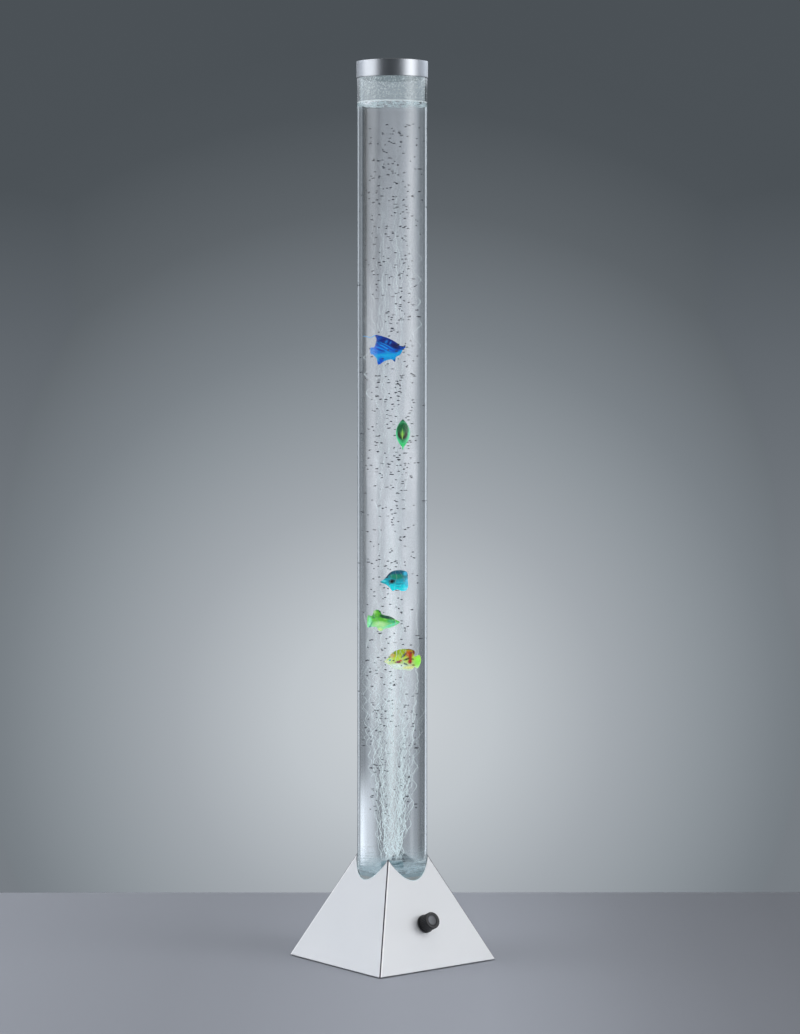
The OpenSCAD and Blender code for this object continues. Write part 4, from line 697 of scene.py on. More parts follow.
# %% Paint on the fish
# Colours of back, side and belly
GROUND = {"blue": [(6, 52, 156), (10, 90, 212), (36, 166, 236)],
          "green": [(30, 118, 62), (104, 216, 156), (150, 244, 204)],
          "cyan": [(0, 100, 120), (8, 164, 186), (70, 238, 250)],
          "lime": [(44, 124, 66), (112, 202, 78), (172, 248, 190)],
          "yellow": [(166, 194, 52), (206, 236, 104), (232, 252, 226)]}
DABS = {
    "blue": [(0.03, 0.27, 0.38, 0.13, -28, (4, 34, 128)), (0.22, 0.12, 0.16, 0.1, -25, (0, 14, 92)),
             (-0.035, 0.29, 0.08, 0.03, 60, (52, 134, 222)), (0.065, 0.25, 0.07, 0.02, 60, (44, 122, 214)),
             (-0.25, 0.42, 0.12, 0.07, 30, (20, 80, 184)), (-0.13, 0.115, 0.26, 0.02, -40, (84, 176, 240)),
             (-0.18, 0.03, 0.25, 0.02, -30, (72, 166, 238)),
             (-0.136, -0.064, 0.29, 0.022, -15, (76, 178, 242)),
             (-0.035, 0.15, 0.26, 0.018, -36, (62, 152, 232)),
             (-0.22, -0.02, 0.14, 0.035, -22, (8, 60, 180)), (-0.035, -0.2, 0.36, 0.075, 2, (40, 182, 244)),
             (0.35, -0.09, 0.18, 0.05, 40, (50, 178, 240)), (0.4, 0.1, 0.11, 0.035, 5, (12, 68, 160)),
             (-0.2, -0.42, 0.16, 0.1, 70, (8, 78, 214)), (-0.326, -0.3, 0.17, 0.025, -50, (94, 188, 238)),
             (0.19, -0.42, 0.1, 0.05, 65, (12, 58, 146)), (-0.46, -0.06, 0.1, 0.17, 0, (70, 146, 224)),
             (0.2, -0.04, 0.12, 0.02, 8, (10, 78, 190))],
    "green": [(0.24, 0.12, 0.17, 0.15, 0, (20, 96, 50)), (-0.03, 0.165, 0.17, 0.034, 0, (30, 26, 18)),
              (-0.04, 0.235, 0.2, 0.042, 0, (172, 232, 108)), (-0.03, 0.01, 0.3, 0.075, 0, (122, 248, 184)),
              (-0.38, 0.05, 0.12, 0.1, 0, (88, 220, 138)), (0.46, 0.03, 0.07, 0.06, 0, (26, 92, 54)),
              (-0.24, 0.16, 0.06, 0.03, 0, (40, 160, 84))],
    "cyan": [(-0.1, 0.2, 0.25, 0.14, 0, (2, 138, 106)), (-0.1, 0.38, 0.3, 0.08, 0, (8, 90, 118)),
             (0.245, 0.23, 0.24, 0.045, -50, (6, 58, 80)), (-0.4, 0.33, 0.09, 0.1, 0, (78, 190, 222)),
             (-0.45, -0.08, 0.06, 0.2, 0, (96, 206, 232)), (-0.185, -0.15, 0.13, 0.022, 0, (10, 118, 150)),
             (-0.16, -0.29, 0.13, 0.02, 0, (14, 148, 176)), (0.06, -0.03, 0.13, 0.1, -28, (0, 6, 12)),
             (0.36, -0.02, 0.1, 0.045, 0, (112, 228, 234)), (0.46, -0.075, 0.07, 0.02, 0, (12, 56, 70)),
             (0.233, -0.265, 0.2, 0.026, 51, (0, 104, 128)), (-0.4, -0.38, 0.12, 0.05, 0, (120, 236, 250))],
    "lime": [(-0.2, 0.28, 0.11, 0.13, 0, (112, 198, 68)), (-0.27, 0.33, 0.05, 0.08, 0, (170, 228, 130)),
             (0.13, 0.13, 0.2, 0.065, -12, (8, 60, 52)), (-0.04, 0.16, 0.09, 0.05, -30, (18, 74, 38)),
             (0.3, 0.07, 0.035, 0.03, 0, (4, 34, 30)), (-0.12, 0.36, 0.03, 0.03, 0, (14, 60, 40)),
             (0.06, 0.06, 0.06, 0.02, -20, (150, 220, 120)), (-0.3, 0.1, 0.04, 0.03, 0, (40, 130, 70)),
             (0.26, -0.03, 0.14, 0.07, -15, (70, 188, 120)), (0.25, -0.17, 0.24, 0.04, 25, (132, 248, 198)),
             (-0.1, -0.15, 0.2, 0.12, 0, (198, 252, 174)), (-0.12, -0.36, 0.1, 0.07, 0, (226, 255, 172)),
             (-0.44, -0.05, 0.08, 0.2, 0, (160, 250, 198)), (-0.49, 0.05, 0.035, 0.16, 0, (128, 226, 106)),
             (-0.37, -0.15, 0.13, 0.016, 70, (54, 156, 106)),
             (-0.41, -0.26, 0.04, 0.035, 0, (22, 124, 138))],
    "yellow": [(0.15, 0.27, 0.17, 0.09, -10, (156, 186, 44)), (0.18, 0.36, 0.21, 0.035, -31, (90, 88, 32)),
               (-0.13, 0.39, 0.25, 0.032, 14, (100, 80, 28)), (-0.16, 0.22, 0.11, 0.13, 0, (208, 108, 56)),
               (-0.3, 0.25, 0.13, 0.035, 75, (126, 48, 34)), (-0.2, 0.08, 0.22, 0.05, 90, (186, 70, 56)),
               (-0.27, 0.02, 0.05, 0.025, 40, (40, 20, 10)), (-0.19, -0.06, 0.08, 0.065, 90, (184, 28, 56)),
               (-0.022, 0.17, 0.115, 0.036, -52, (4, 8, 2)), (-0.1, 0.034, 0.1, 0.032, -23, (14, 14, 4)),
               (-0.067, -0.137, 0.08, 0.03, 35, (6, 60, 46)),
               (0.136, -0.063, 0.085, 0.05, -10, (134, 0, 74)),
               (0.06, -0.01, 0.05, 0.03, -20, (198, 60, 56)),
               (-0.29, -0.19, 0.05, 0.045, 0, (128, 100, 40)),
               (0.163, -0.2, 0.21, 0.08, 0, (238, 254, 246)),
               (-0.163, -0.27, 0.17, 0.05, 0, (248, 250, 166)),
               (0.28, 0.163, 0.07, 0.075, 0, (214, 172, 66)),
               (0.434, -0.044, 0.06, 0.05, 0, (244, 250, 214)),
               (-0.4, -0.06, 0.12, 0.22, 0, (172, 250, 108))]}
# Place and radius of each eye, as shares of the length, and the colours of its ring and its middle
EYES = {"blue": (0.31, 0.07, 0.024, (10, 60, 150), (2, 16, 70)),
        "green": (0.36, 0.09, 0.026, (40, 130, 70), (8, 40, 22)),
        "cyan": (0.06, -0.03, 0.055, (0, 12, 18), (0, 2, 4)),
        "lime": (0.34, -0.02, 0.03, (90, 190, 120), (14, 90, 96)),
        "yellow": (0.353, 0.0, 0.042, (150, 226, 214), (14, 104, 116))}


def smooth_loop(points, steps):
    """A closed Catmull-Rom curve through all points: 0.5 (2b + (c-a)t + (2a-5b+4c-d)t^2 + (3b-a-3c+d)t^3)."""
    b = np.asarray(points, float)
    a, c, d = np.roll(b, 1, 0), np.roll(b, -1, 0), np.roll(b, -2, 0)
    t = (np.arange(steps) / steps)[None, :, None]
    a, b, c, d = (v[:, None] for v in (a, b, c, d))
    return (0.5 * (2 * b + (c - a) * t + (2 * a - 5 * b + 4 * c - d) * t ** 2
                   + (3 * b - a - 3 * c + d) * t ** 3)).reshape(-1, 2)


def fish_grid(name):
    """Points and shares of the length for one fish. Half thickness: fin + T s sqrt(1 - (dz / (H s))^2),
    s = sin(pi u)^0.8 along the body, and all of it drawn in near the rim by sqrt(1 - r^8)."""
    length = PLACES[name][0] * MM
    nose, tail, nose_z, tail_z, half_h, half_t = BODIES[name]
    rim = smooth_loop(OUTLINES[name], 6)
    middle = np.array([0.5 * (nose + tail), 0.5 * (nose_z + tail_z)])
    out = np.concatenate([np.linspace(0, 0.9, 17), [0.94, 0.97, 0.985, 0.996]])
    share = middle + out[:, None, None] * (rim - middle)[None]
    x, z = share[..., 0], share[..., 1]
    u = np.clip((nose - x) / (nose - tail), 0, 1)
    swell = np.sin(np.pi * u) ** 0.8 + 1e-9
    dz = (z - (nose_z + (tail_z - nose_z) * u)) / (half_h * swell)
    body = half_t * swell * np.sqrt(np.clip(1 - dz ** 2, 0, 1))
    rays = 0.10 * MM * np.cos(np.arctan2(z, x + 0.1) * 46) * np.clip(1 - body * length / (2 * MM), 0, 1)
    thick = (0.42 * MM + rays + body * length) * np.sqrt(1 - out[:, None] ** 8)
    both = np.concatenate([np.stack([x * length, -thick, z * length], -1),
                           np.stack([x * length, thick, z * length], -1)[::-1]])
    return both, np.concatenate([share, share[::-1]]), np.concatenate([body, body[::-1]])


def painted(name, share):
    """Colour of each point. Ground: from belly to back by z; each dab covers by exp(-(a^2 + b^2)^2)."""
    x, z = share[..., 0], share[..., 1]
    belly, mid, back = (np.array(light_of(*c)) for c in GROUND[name][::-1])
    s = np.clip((z + 0.3) / 0.3, 0, 1)[..., None]
    t = np.clip((z - 0.05) / 0.22, 0, 1)[..., None]
    colour = (belly * (1 - s) + mid * s) * (1 - t) + back * t
    for cx, cz, half, wide, turn, shade in DABS[name]:
        a = math.radians(turn)
        along = ((x - cx) * math.cos(a) + (z - cz) * math.sin(a)) / half
        across = (-(x - cx) * math.sin(a) + (z - cz) * math.cos(a)) / wide
        cover_by = np.exp(-(along ** 2 + across ** 2) ** 2)[..., None]
        colour = colour * (1 - cover_by) + np.array(light_of(*shade)) * cover_by
    return colour


def spun(points, axis, turn):
    return points @ np.array(Matrix.Rotation(turn, 3, axis)).T


def in_tube(name, points):
    """Puts points of a fish that swims to +X into its place in the tube. The green one swims upwards."""
    high, aside, turn = PLACES[name][1:]
    if name == "green":
        points = spun(spun(points, "Y", math.radians(-90)), "Z", math.radians(90))
    points = spun(points, "Z", math.radians(turn)) + np.array([aside, 0, high]) * MM
    return spun(points, "Z", VIEW_TURN)


def ball(centre, radii, colour, rows=9, columns=16):
    """A closed ellipsoid with a colour on it."""
    a, b = np.meshgrid(np.linspace(0, np.pi, rows), np.arange(columns) * 2 * np.pi / columns, indexing="ij")
    unit = np.stack([np.sin(a) * np.cos(b), np.sin(a) * np.sin(b), np.cos(a)], -1)
    points = (unit * radii + centre).reshape(-1, 3)
    return {"points": points, "faces": quads(rows, columns), "marks": {
        "paint": np.repeat([light_of(*colour)], len(points), 0), "thin": np.zeros(len(points))}}


def strand(path, radius, colour, sides=6):
    """A thin closed tube along a path of points, which tapers to its far end."""
    path = np.asarray(path, float)
    ahead = np.gradient(path, axis=0)
    ahead /= np.linalg.norm(ahead, axis=1)[:, None]
    across = np.cross(ahead, [0.2, 1.0, 0.1])
    across /= np.linalg.norm(across, axis=1)[:, None]
    over = np.cross(ahead, across)
    k = np.arange(sides) * 2 * np.pi / sides
    taper = radius * np.linspace(1, 0.45, len(path))
    taper[[0, -1]] = 1e-9
    circle = across[:, None] * np.cos(k)[:, None] + over[:, None] * np.sin(k)[:, None]
    ring = path[:, None] + taper[:, None, None] * circle
    return {"points": ring.reshape(-1, 3), "faces": quads(len(path), sides)[:, ::-1], "marks": {
        "paint": np.repeat([light_of(*colour)], ring.size // 3, 0), "thin": np.full(ring.size // 3, 0.5)}}


fish_finish = new_finish("painted_fish")
speck = fish_finish.noise(fish_finish.place(), 420.0, 3.0, 0.6)
value = fish_finish.steps(speck, 0.3, 0.7, 0.9, 1.08)
paint = fish_finish.add("ShaderNodeHueSaturation", {},
                        {"Saturation": 1.08, "Value": value, "Color": fish_finish.mark("paint")})
# The fish also glow in their own paint colours at half strength, which is painted light.
fish_finish.skin(Base_Color=paint, Roughness=0.45 + speck * 0.15, Specular_IOR_Level=0.07, IOR=1.4,
                 Emission_Color=paint, Emission_Strength=0.5,
                 Alpha=fish_finish.steps(fish_finish.mark("thin", 2), 0.0, 1.0, 1.0, 0.8),
                 Normal=fish_finish.bump(speck, 0.15, 0.0003))
for name in FISH:
    both, share, body = fish_grid(name)
    thin = np.clip(1 - body / 0.05, 0, 1) * np.clip((-share[..., 0] - 0.28) / 0.15, 0, 1)
    parts = [{"points": in_tube(name, both.reshape(-1, 3)), "faces": quads(*both.shape[:2]),
              "marks": {"paint": painted(name, share).reshape(-1, 3), "thin": thin.ravel()}}]
    length, (ex, ez, eye_r, ring, shade) = PLACES[name][0] * MM, EYES[name]
    side = np.abs(both[..., 1])
    nearest = np.argmin((share[..., 0] - ex) ** 2 + (share[..., 1] - ez) ** 2)
    bulge = side.ravel()[nearest]
    for sign in (-1, 1):
        for radius, tint, lift in ((eye_r, ring, 0.0), (eye_r * 0.62, shade, eye_r * 0.28)):
            eye = ball(np.array([ex * length, sign * (bulge + lift * length), ez * length]),
                       np.array([1, 0.5, 1]) * radius * length, tint)
            eye["points"] = in_tube(name, eye["points"])
            parts.append(eye)
    if name == "blue":
        s = np.linspace(0, 1, 30)
        tail = np.stack([-0.34 - 0.42 * s, 0.02 * np.sin(9 * s), 0.53 - 0.10 * s - 0.05 * np.sin(5 * s)], -1)
        trail = strand(tail * length, 0.5 * MM, (96, 180, 236))
        trail["points"] = in_tube(name, trail["points"])
        parts.append(trail)
    piece = mesh_of("toy_fish_" + name, parts, fish_finish)
    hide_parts("fish_" + name)
    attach(piece, "fish_" + name)
    print(name, "fish shows at", [round(v) for v in photo_point(np.mean(parts[0]["points"], 0))])

# %% [markdown]
# Bubbles leave the air stone in a thick stream and spread as they rise. Seen from the side each one is a
# flattened drop of air in water. Light from behind it bends away, so against the pale water it looks dark;
# here each is drawn nearly opaque in a dark colour, which is painted shade. Low down they crowd into pale
# wavering strands, and at the top they gather as froth under the water's skin.

# %% Bubbles
rng = np.random.default_rng(20)
BALL_ROWS, BALL_COLUMNS = 6, 9
low_ball = np.stack(np.meshgrid(np.linspace(0, np.pi, BALL_ROWS),
                                np.arange(BALL_COLUMNS) * 2 * np.pi / BALL_COLUMNS, indexing="ij"), -1)


def many_balls(centres, wide, high, tilt, heading, squash=1.0):
    """Ellipsoids of one low mesh: c + R (w sin a cos b, w q sin a sin b, h cos a), R a tilt and a turn."""
    a, b = low_ball[..., 0], low_ball[..., 1]
    x = wide[:, None, None] * (np.sin(a) * np.cos(b))[None]
    y = wide[:, None, None] * squash * (np.sin(a) * np.sin(b))[None]
    z = high[:, None, None] * np.cos(a)[None]
    c, s = np.cos(tilt)[:, None, None], np.sin(tilt)[:, None, None]
    x, z = x * c - z * s, x * s + z * c
    c, s = np.cos(heading)[:, None, None], np.sin(heading)[:, None, None]
    x, y = x * c - y * s, x * s + y * c
    points = np.stack([x, y, z], -1) + centres[:, None, None, :]
    one = quads(BALL_ROWS, BALL_COLUMNS)[:, ::-1]
    first = BALL_ROWS * BALL_COLUMNS * np.arange(len(centres))
    faces = (one[None] + first[:, None, None]).reshape(-1, 4)
    return {"points": points.reshape(-1, 3), "faces": faces}


def ring_points(count, inner, outer, low, high):
    """Random points between two radii, even over the area, and between two heights."""
    r = np.sqrt(rng.uniform(inner ** 2, outer ** 2, count))
    t = rng.uniform(0, 2 * np.pi, count)
    return np.stack([r * np.cos(t), r * np.sin(t), rng.uniform(low, high, count)], 1)


air = new_finish("air_in_water")
# The drops are nearly opaque and dark: painted shade.
bubble_painted_shade = air.mix(air.noise(air.place(), 60.0), light_of(18, 20, 28), light_of(66, 72, 84))
air.skin(Base_Color=bubble_painted_shade, Roughness=0.4, Specular_IOR_Level=0.2, Alpha=0.9)
STREAM_R, STRAY_R = 27 * MM, 42 * MM
BUBBLES_LOW, BUBBLES_HIGH = 0.19, 1.195
count = 760
where = np.concatenate([ring_points(660, 0.0, STREAM_R, 0.2, 1.19),
                        ring_points(100, STREAM_R, STRAY_R, 0.3, 1.19)])
chain = rng.integers(0, count, 190)
where[:190] = where[chain] + rng.normal(0, 1, (190, 3)) * np.array([[3.4, 3.4, 6.0]]) * MM
where[:, 2] = np.clip(where[:, 2], BUBBLES_LOW, BUBBLES_HIGH)
reach = np.hypot(where[:, 0], where[:, 1])
where[:, :2] *= np.minimum(1, STRAY_R / np.maximum(reach, 1e-9))[:, None]
wide = rng.uniform(0.85, 2.1, count) * MM
drops = many_balls(where, wide, rng.uniform(0.55, 0.85, count) * MM, rng.normal(0, 0.2, count),
                   rng.uniform(0, 2 * np.pi, count))
bubbles = mesh_of("rising_bubbles", [drops], air)
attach(bubbles, "lamp")

froth_at = np.concatenate([ring_points(330, 20 * MM, 44.5 * MM, water_top - 4 * MM, water_top - 1.4 * MM),
                           ring_points(200, 41 * MM, 45.2 * MM, water_top - 3.6 * MM, water_top - 1.2 * MM)])
turn = np.arctan2(froth_at[:, 1], froth_at[:, 0])
clumps = np.sin(3 * turn + 1) + np.sin(5 * turn + 2.3) + 0.7 * np.sin(11 * turn)
froth_at = froth_at[clumps > rng.uniform(-1.2, 0.6, len(turn))]
wide = rng.uniform(0.7, 2.6, len(froth_at)) * MM
froth_at[:, :2] *= np.minimum(1, (45.8 * MM - wide) / np.hypot(froth_at[:, 0], froth_at[:, 1]))[:, None]
foam = new_finish("froth")
foam_tone = foam.mix(foam.noise(foam.place(), 150.0), light_of(150, 164, 170), light_of(206, 216, 220))
# The froth glows a little as well, which is painted light.
foam.skin(Base_Color=foam_tone, Roughness=0.3, IOR=1.3, Alpha=0.6, Emission_Color=light_of(182, 198, 204),
          Emission_Strength=0.35)
froth = mesh_of("froth", [many_balls(froth_at, wide, wide * 0.42, rng.normal(0, 0.1, len(wide)),
                                     rng.uniform(0, 6.28, len(wide)))], foam)
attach(froth, "lamp")
# Where the water meets the wall it rises in a bright ring, pale and glowing: a painted highlight.
edge_line = soft_corners([(44.9 * MM, water_top + 0.2 * MM), (46.6 * MM, water_top),
                          (46.9 * MM, water_top + 1.9 * MM), (45.9 * MM, water_top + 1.3 * MM)], 0.3 * MM)
rim_light = new_finish("water_edge")
edge_noise = rim_light.noise(rim_light.place(), 200.0)
rim_light.skin(Base_Color=rim_light.mix(edge_noise, light_of(206, 216, 220), light_of(236, 242, 244)),
               Roughness=0.3, Alpha=0.92, Emission_Color=light_of(214, 224, 228), Emission_Strength=0.5)
meniscus = mesh_of("water_edge", [turned(edge_line, 160)], rim_light)
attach(meniscus, "lamp")
print("bubbles:", count, "froth:", len(froth_at), "faces:",
      len(bubbles.data.polygons) + len(froth.data.polygons))

# %% [markdown]
# Strands are ribbons of fine bubbles. Each climbs on a path that winds about the stone's axis:
# x = a w(z) + b (sin(k s + p) + a slower and a quicker wave), with w growing from the stone upwards, and
# fades out as it climbs. Fainter wisps rise behind the fish, and with them a haze of the finest bubbles, drawn
# as thin flat sleeves. Strands, wisps and haze glow pale, which is painted light, and this glow is what makes
# the water pale.

# %% Plume and haze
STONE_TOP = 0.1402
RIBBON_ROWS = 200


def ribbon(low, high, lean, sway, waves_in, phase, heading, wide, behind=False):
    """A ribbon of two columns that winds: its middle is at w lean + sway sin(k s + p) across the heading."""
    s = np.linspace(0, 1, RIBBON_ROWS)
    z = low + (high - low) * s
    spread = (12 + 24 * np.clip((z - 0.14) / 0.26, 0, 1) ** 0.8) * MM
    bends = waves_in * s * 2 * np.pi
    wind = np.sin(bends + phase) + 0.9 * np.sin(0.37 * bends + 2 * phase)
    wind = sway * (wind + 0.4 * np.sin(2.3 * bends + 3 * phase))
    mid = spread * lean + wind * MM
    deep = spread * 0.7 * (math.sin(5 * phase) + 0.2 * np.cos(bends + 2 * phase))
    deep = np.abs(deep) + 10 * MM if behind else deep
    half = wide * (0.7 + 0.3 * np.sin(37 * s + phase * 3))
    columns = np.stack([mid - half, mid + half], 1)
    x = columns * math.cos(heading) - deep[:, None] * math.sin(heading)
    y = columns * math.sin(heading) + deep[:, None] * math.cos(heading)
    far = np.maximum(1, np.hypot(x, y) / (43 * MM))
    points = np.stack([x / far, y / far, np.repeat(z[:, None], 2, 1)], -1)
    glow = np.repeat((np.clip(s / 0.04, 0, 1) * (1 - s ** 1.6))[:, None], 2, 1)
    return {"points": points.reshape(-1, 3), "faces": quads(RIBBON_ROWS, 2, close_columns=False),
            "marks": {"glow": glow.ravel()}}


plume_finish = new_finish("fine_bubbles")
grain = plume_finish.noise(plume_finish.place(), 420.0, 3.0, 0.7)
shown = plume_finish.steps(grain, 0.24, 0.48) * plume_finish.mark("glow", 2)
# Strands and wisps glow pale: painted light.
plume_glow = plume_finish.mix(grain, light_of(176, 196, 202), light_of(236, 246, 248))
plume_finish.skin(Base_Color=plume_finish.mix(grain, light_of(110, 124, 130), light_of(170, 184, 190)),
                  Roughness=0.5, Alpha=shown, Emission_Color=plume_glow, Emission_Strength=0.8)
STRANDS, FROM_STONE, WISPS = 84, 40, 96
strands = []
for i in range(STRANDS):
    start = STONE_TOP if i < FROM_STONE else rng.uniform(0.15, 0.36)
    top_at = rng.uniform(0.3, 0.6) if i < FROM_STONE else start + rng.uniform(0.1, 0.26)
    strands.append(ribbon(start, top_at, rng.uniform(-0.84, 0.84), rng.uniform(0.6, 1.7),
                          (top_at - start) * rng.uniform(34, 62), rng.uniform(0, 6.28),
                          rng.uniform(-0.7, 0.7) + VIEW_TURN, rng.uniform(0.3, 0.5) * MM))
for i in range(WISPS):
    start = rng.uniform(0.34, 1.0)
    wisp = ribbon(start, min(start + rng.uniform(0.1, 0.28), 1.2), rng.uniform(-0.42, 0.42),
                  rng.uniform(0.4, 1.2), rng.uniform(3, 9), rng.uniform(0, 6.28),
                  rng.uniform(-0.3, 0.3) + VIEW_TURN, rng.uniform(0.24, 0.5) * MM, behind=True)
    wisp["marks"]["glow"] = wisp["marks"]["glow"] * 0.5
    strands.append(wisp)
plume = mesh_of("bubble_plume", strands, plume_finish)
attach(plume, "lamp")

# Heights of the layers of mist and painted glow over the lights in millimetres, and how dense each is
GLOW_MIST = [(128.6, 0.9), (131, 0.9), (134, 0.8), (138, 0.65), (143, 0.5), (149, 0.34), (156, 0.2)]
# The mist glows pale teal over the lights: painted light.
glow_mist_finish = new_finish("mist_with_painted_glow")
curl = glow_mist_finish.noise(glow_mist_finish.place(), 70.0, 4.0, 0.65)
glow_mist_finish.skin(Base_Color=light_of(134, 150, 158), Roughness=0.8, Emission_Strength=0.46,
                 Alpha=glow_mist_finish.steps(curl, 0.3, 0.7) * glow_mist_finish.mark("glow", 2),
                 Emission_Color=glow_mist_finish.mix(curl, light_of(146, 164, 172), light_of(184, 202, 210)))
layers = []
for z, much in GLOW_MIST:
    disc = turned([(r * MM, z * MM) for r in (13, 24, 36, 45.5)], 72, closed=False)
    p = disc["points"]
    p[:, 2] += 1.6 * MM * np.sin(p[:, 0] * 130 + z) * np.cos(p[:, 1] * 110 + z * 0.7)
    p[:, 2] = np.maximum(p[:, 2], disc_top + 0.4 * MM)
    disc["marks"] = {"glow": np.full(len(p), much)}
    layers.append(disc)
glow_mist = mesh_of("painted_glow_over_the_disc", layers, glow_mist_finish)
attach(glow_mist, "lamp")

haze_finish = new_finish("haze")
place = haze_finish.place()
veil = haze_finish.noise(place, 75.0, 4.0, 0.6, (1, 1, 0.10))
streak = haze_finish.steps(veil, 0.46, 0.72)
high = haze_finish.height(place)
# Painted light on the haze: how brightly it glows at each height.
haze_painted_light = haze_finish.ramp(high * (1 / 1.3), [
    (0.115, (0.40, 0.42, 0.44)), (0.17, (0.56, 0.58, 0.61)), (0.24, (0.76, 0.78, 0.82)),
    (0.346, (0.90, 0.92, 0.97)), (0.477, (0.80, 0.81, 0.87)), (0.63, (0.70, 0.71, 0.76)),
    (0.76, (0.47, 0.48, 0.52)), (0.9, (0.30, 0.31, 0.34)), (1.0, (0.28, 0.29, 0.32))])
haze_finish.skin(Base_Color=haze_finish.mix(streak, light_of(110, 114, 120), light_of(140, 144, 150)),
                 Alpha=(0.045 + streak * 0.11) * haze_finish.steps(high, 0.28, 0.46, 0.3, 1.0), Roughness=0.8,
                 Emission_Color=haze_painted_light, Emission_Strength=0.85)
veils = []
forward, sideward = np.array(-to_camera), np.array(to_right)
for share, k, phase in ((1.0, 5, 0.4), (0.93, 4, 1.9), (0.82, 3, 3.1)):
    t = (np.arange(72) * 2 * np.pi / 72)[None]
    z = np.linspace(0.145, water_top - 7 * MM, 150)[:, None]
    rise = np.clip((z - 0.14) / 0.26, 0, 1)
    wide = (11 + 12.5 * rise ** 2 * (3 - 2 * rise)) * share * MM * (1 + 0.02 * np.sin(k * 9 * z + phase))
    away = (20 - 6 * (1 - rise)) * MM + 9 * share * MM * np.sin(t)
    points = (wide * np.cos(t))[..., None] * sideward + (away + 0 * z)[..., None] * forward
    points[..., 2] += z
    veils.append({"points": points.reshape(-1, 3), "faces": quads(150, 72)})
haze = mesh_of("haze_of_fine_bubbles", veils, haze_finish)
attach(haze, "lamp")
for fine in (haze, plume, glow_mist, bubbles, froth, meniscus):
    fine.visible_shadow = False

# %% [markdown]
# Above the water the wall is misted. A thin grainy film lies on its inside, and on it small drops, each a low
# dome. Film and drops glow faintly, which is painted light.

# %% Drops on the wall
count = 1300
t = rng.uniform(0, 2 * np.pi, count)
z = water_top + (4 + 46 * rng.random(count) ** 0.8) * MM
size = rng.uniform(0.3, 0.7, count) * MM
drops_at = np.stack([(bore_r - 0.1 * MM) * np.cos(t), (bore_r - 0.1 * MM) * np.sin(t), z], 1)
beads = many_balls(drops_at, size, size * 1.15, np.zeros(count), t + np.pi / 2, squash=0.45)
bead_finish = new_finish("drops")
bead_noise = bead_finish.noise(bead_finish.place(), 90.0)
# The drops glow faintly: painted light.
bead_finish.skin(Base_Color=bead_finish.mix(bead_noise, (0.9, 0.96, 0.96), (1, 1, 1)), Roughness=0.2,
                 IOR=1.33, Transmission_Weight=0.35, Emission_Color=light_of(200, 214, 218),
                 Emission_Strength=0.14)
film_finish = new_finish("breath_on_the_wall")
cloud = film_finish.noise(film_finish.place(), 620.0, 4.0, 0.75)
# The film glows pale: painted light.
film_finish.skin(Base_Color=light_of(120, 132, 138), Roughness=0.7, Emission_Strength=0.55,
                 Alpha=film_finish.steps(cloud, 0.36, 0.64, 0.12, 0.36),
                 Emission_Color=film_finish.mix(cloud, light_of(140, 156, 162), light_of(176, 190, 196)))
# The film ends just inside the cap's liner
FILM_TOP = 1.2678
film_r = bore_r - 0.35 * MM
film_line = [(film_r, water_top + 2 * MM), (film_r, FILM_TOP)]
film = mesh_of("breath_on_the_wall", [turned(film_line, 160, closed=False)], film_finish)
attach(film, "lamp")
film.visible_shadow = False
wall_drops = mesh_of("drops_on_the_wall", [beads], bead_finish)
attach(wall_drops, "lamp")
wall_drops.visible_shadow = False
print("drops:", count, "faces:", len(wall_drops.data.polygons))

# %% [markdown]
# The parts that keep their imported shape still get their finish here. Each has a colour that varies a little
# over its surface, as moulded plastic, plated steel or rolled sheet does, and most carry a fine grain.

# %% Finishes of the other parts
def grained(name, dark, light, scale, rough, metal=0.0, stretch=(1, 1, 1), grain=0.1, **more):
    """A finish between two colours by a noise in the piece's own space, with roughness and bump by it."""
    f = new_finish(name)
    n = f.noise(f.place(), scale, 4.0, 0.6, stretch)
    f.skin(Base_Color=f.mix(f.steps(n, 0.3, 0.7), light_of(*dark), light_of(*light)), Metallic=metal,
           Roughness=rough + n * 0.12, Normal=f.bump(n, grain, 0.0003), **more)
    return f


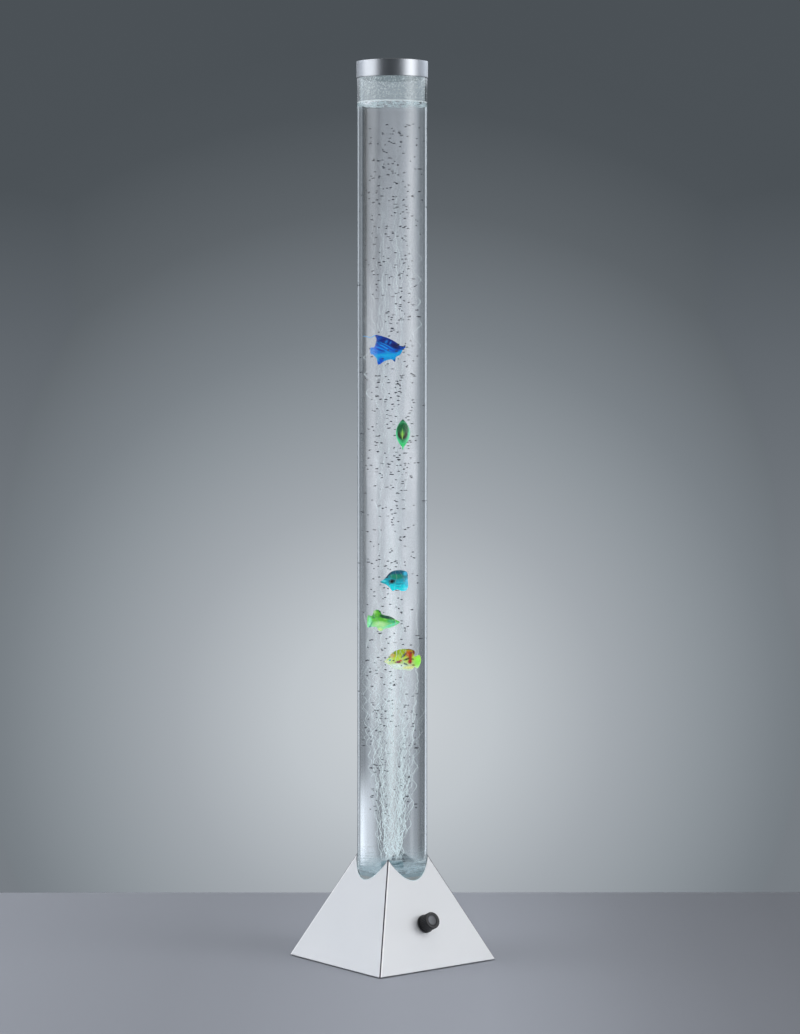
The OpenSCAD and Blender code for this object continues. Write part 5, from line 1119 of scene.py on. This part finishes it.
PARTS = {
    "zinc": (grained("zinc_plate", (150, 152, 150), (196, 198, 194), 60, 0.34, 0.9),
             ["base_plate", "plate_screws", "socket_screws", "led_board_screws", "pump_lid_screws",
              "pump_arm_screw", "board_screws", "dimmer_nut", "dimmer_washer", "nozzle_nut", "gland_nut",
              "pump_pin", "pump_lever"]),
    "rubber": (grained("black_rubber", (20, 20, 22), (40, 40, 42), 500, 0.7),
               ["feet", "nozzle_seal", "pump_dampers", "pump_diaphragm", "valve_flaps", "check_valve_bill"]),
    "white": (grained("white_plastic", (206, 214, 214), (232, 236, 236), 45, 0.45),
              ["tube_socket", "floor_ring", "air_nozzle", "valve_block", "check_valve", "pump_bobbin"]),
    # The lining also glows, which is painted light.
    "liner": (grained("cap_lining", (200, 212, 214), (226, 234, 236), 45, 0.45, Emission_Strength=0.65,
                      Emission_Color=light_of(170, 184, 190)), ["cap_liner"]),
    "lit_disc": (grained("lit_disc", (150, 178, 188), (190, 208, 214), 40, 0.25, 0.0, (1, 1, 1), 0.05,
                         Emission_Color=light_of(150, 178, 188), Emission_Strength=0.2), ["tube_floor"]),
    "stone": (grained("air_stone", (86, 120, 130), (150, 186, 194), 700, 0.85, grain=0.6),
              ["bubble_diffuser"]),
    "board_white": (grained("white_board", (216, 216, 208), (236, 236, 230), 30, 0.4), ["led_board"]),
    "light_chip": (grained("light_chip", (200, 236, 240), (240, 252, 252), 400, 0.3, 0.0, (1, 1, 1), 0.05,
                           Emission_Color=(0.75, 0.95, 1.0), Emission_Strength=1.0), ["led_chips"]),
    "black_plastic": (grained("black_plastic", (18, 18, 20), (34, 34, 38), 300, 0.4), ["cord_gland"]),
    "grey_plastic": (grained("grey_plastic", (44, 46, 50), (66, 68, 72), 160, 0.5),
                     ["pump_case", "pump_lid", "dimmer_body"]),
    "felt": (grained("filter_felt", (196, 190, 170), (232, 226, 210), 900, 0.95, grain=0.8), ["air_filter"]),
    "iron": (grained("core_iron", (60, 62, 66), (86, 88, 92), 40, 0.5, 0.8, (1, 30, 1)),
             ["pump_core", "pump_magnet"]),
    "copper": (grained("copper_winding", (120, 62, 24), (206, 120, 62), 12, 0.35, 0.9, (1, 1, 90), 0.5),
               ["pump_coil"]),
    "hose": (grained("clear_hose", (176, 190, 190), (214, 224, 224), 30, 0.25), ["lower_hose", "upper_hose"]),
    "board_green": (grained("green_board", (18, 84, 50), (34, 116, 70), 90, 0.4),
                    ["control_board", "terminal_block"]),
    "board_bits": (grained("board_parts", (34, 34, 38), (150, 120, 60), 70, 0.4), ["board_parts"]),
    "brass": (grained("brass_post", (150, 118, 56), (206, 172, 92), 60, 0.3, 0.9),
              ["board_standoffs", "dimmer_shaft"]),
    "red": (grained("lead_red", (150, 26, 22), (190, 44, 36), 80, 0.45), ["led_lead"]),
    "black": (grained("lead_black", (22, 22, 24), (40, 40, 44), 80, 0.45), ["pump_lead"]),
    "grey": (grained("lead_grey", (110, 112, 116), (140, 142, 146), 80, 0.45), ["dimmer_lead"])}
done = set()
for finish, nodes in PARTS.values():
    for node in nodes:
        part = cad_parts[node]
        for k in range(len(part.data.materials)):
            part.data.materials[k] = finish.owner
        done.add(node)
made_anew = {"base_cover", "tube", "cap", "knob"} | {"fish_" + name for name in FISH}
print("nodes with a finish here:", len(done), "not yet:", sorted(set(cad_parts) - done - made_anew))

# %% Size of the finished lamp, and the end
low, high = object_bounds()
(json.dumps({"cad_mm": [round(1000 * x, 2) for x in (*cad_low, *cad_high)],
                             "scene_mm": [round(1000 * x, 2) for x in (*low, *high)]}) + "\n")
print("box of the finished lamp, mm:", [round(1000 * x, 1) for x in (*low, *high)])
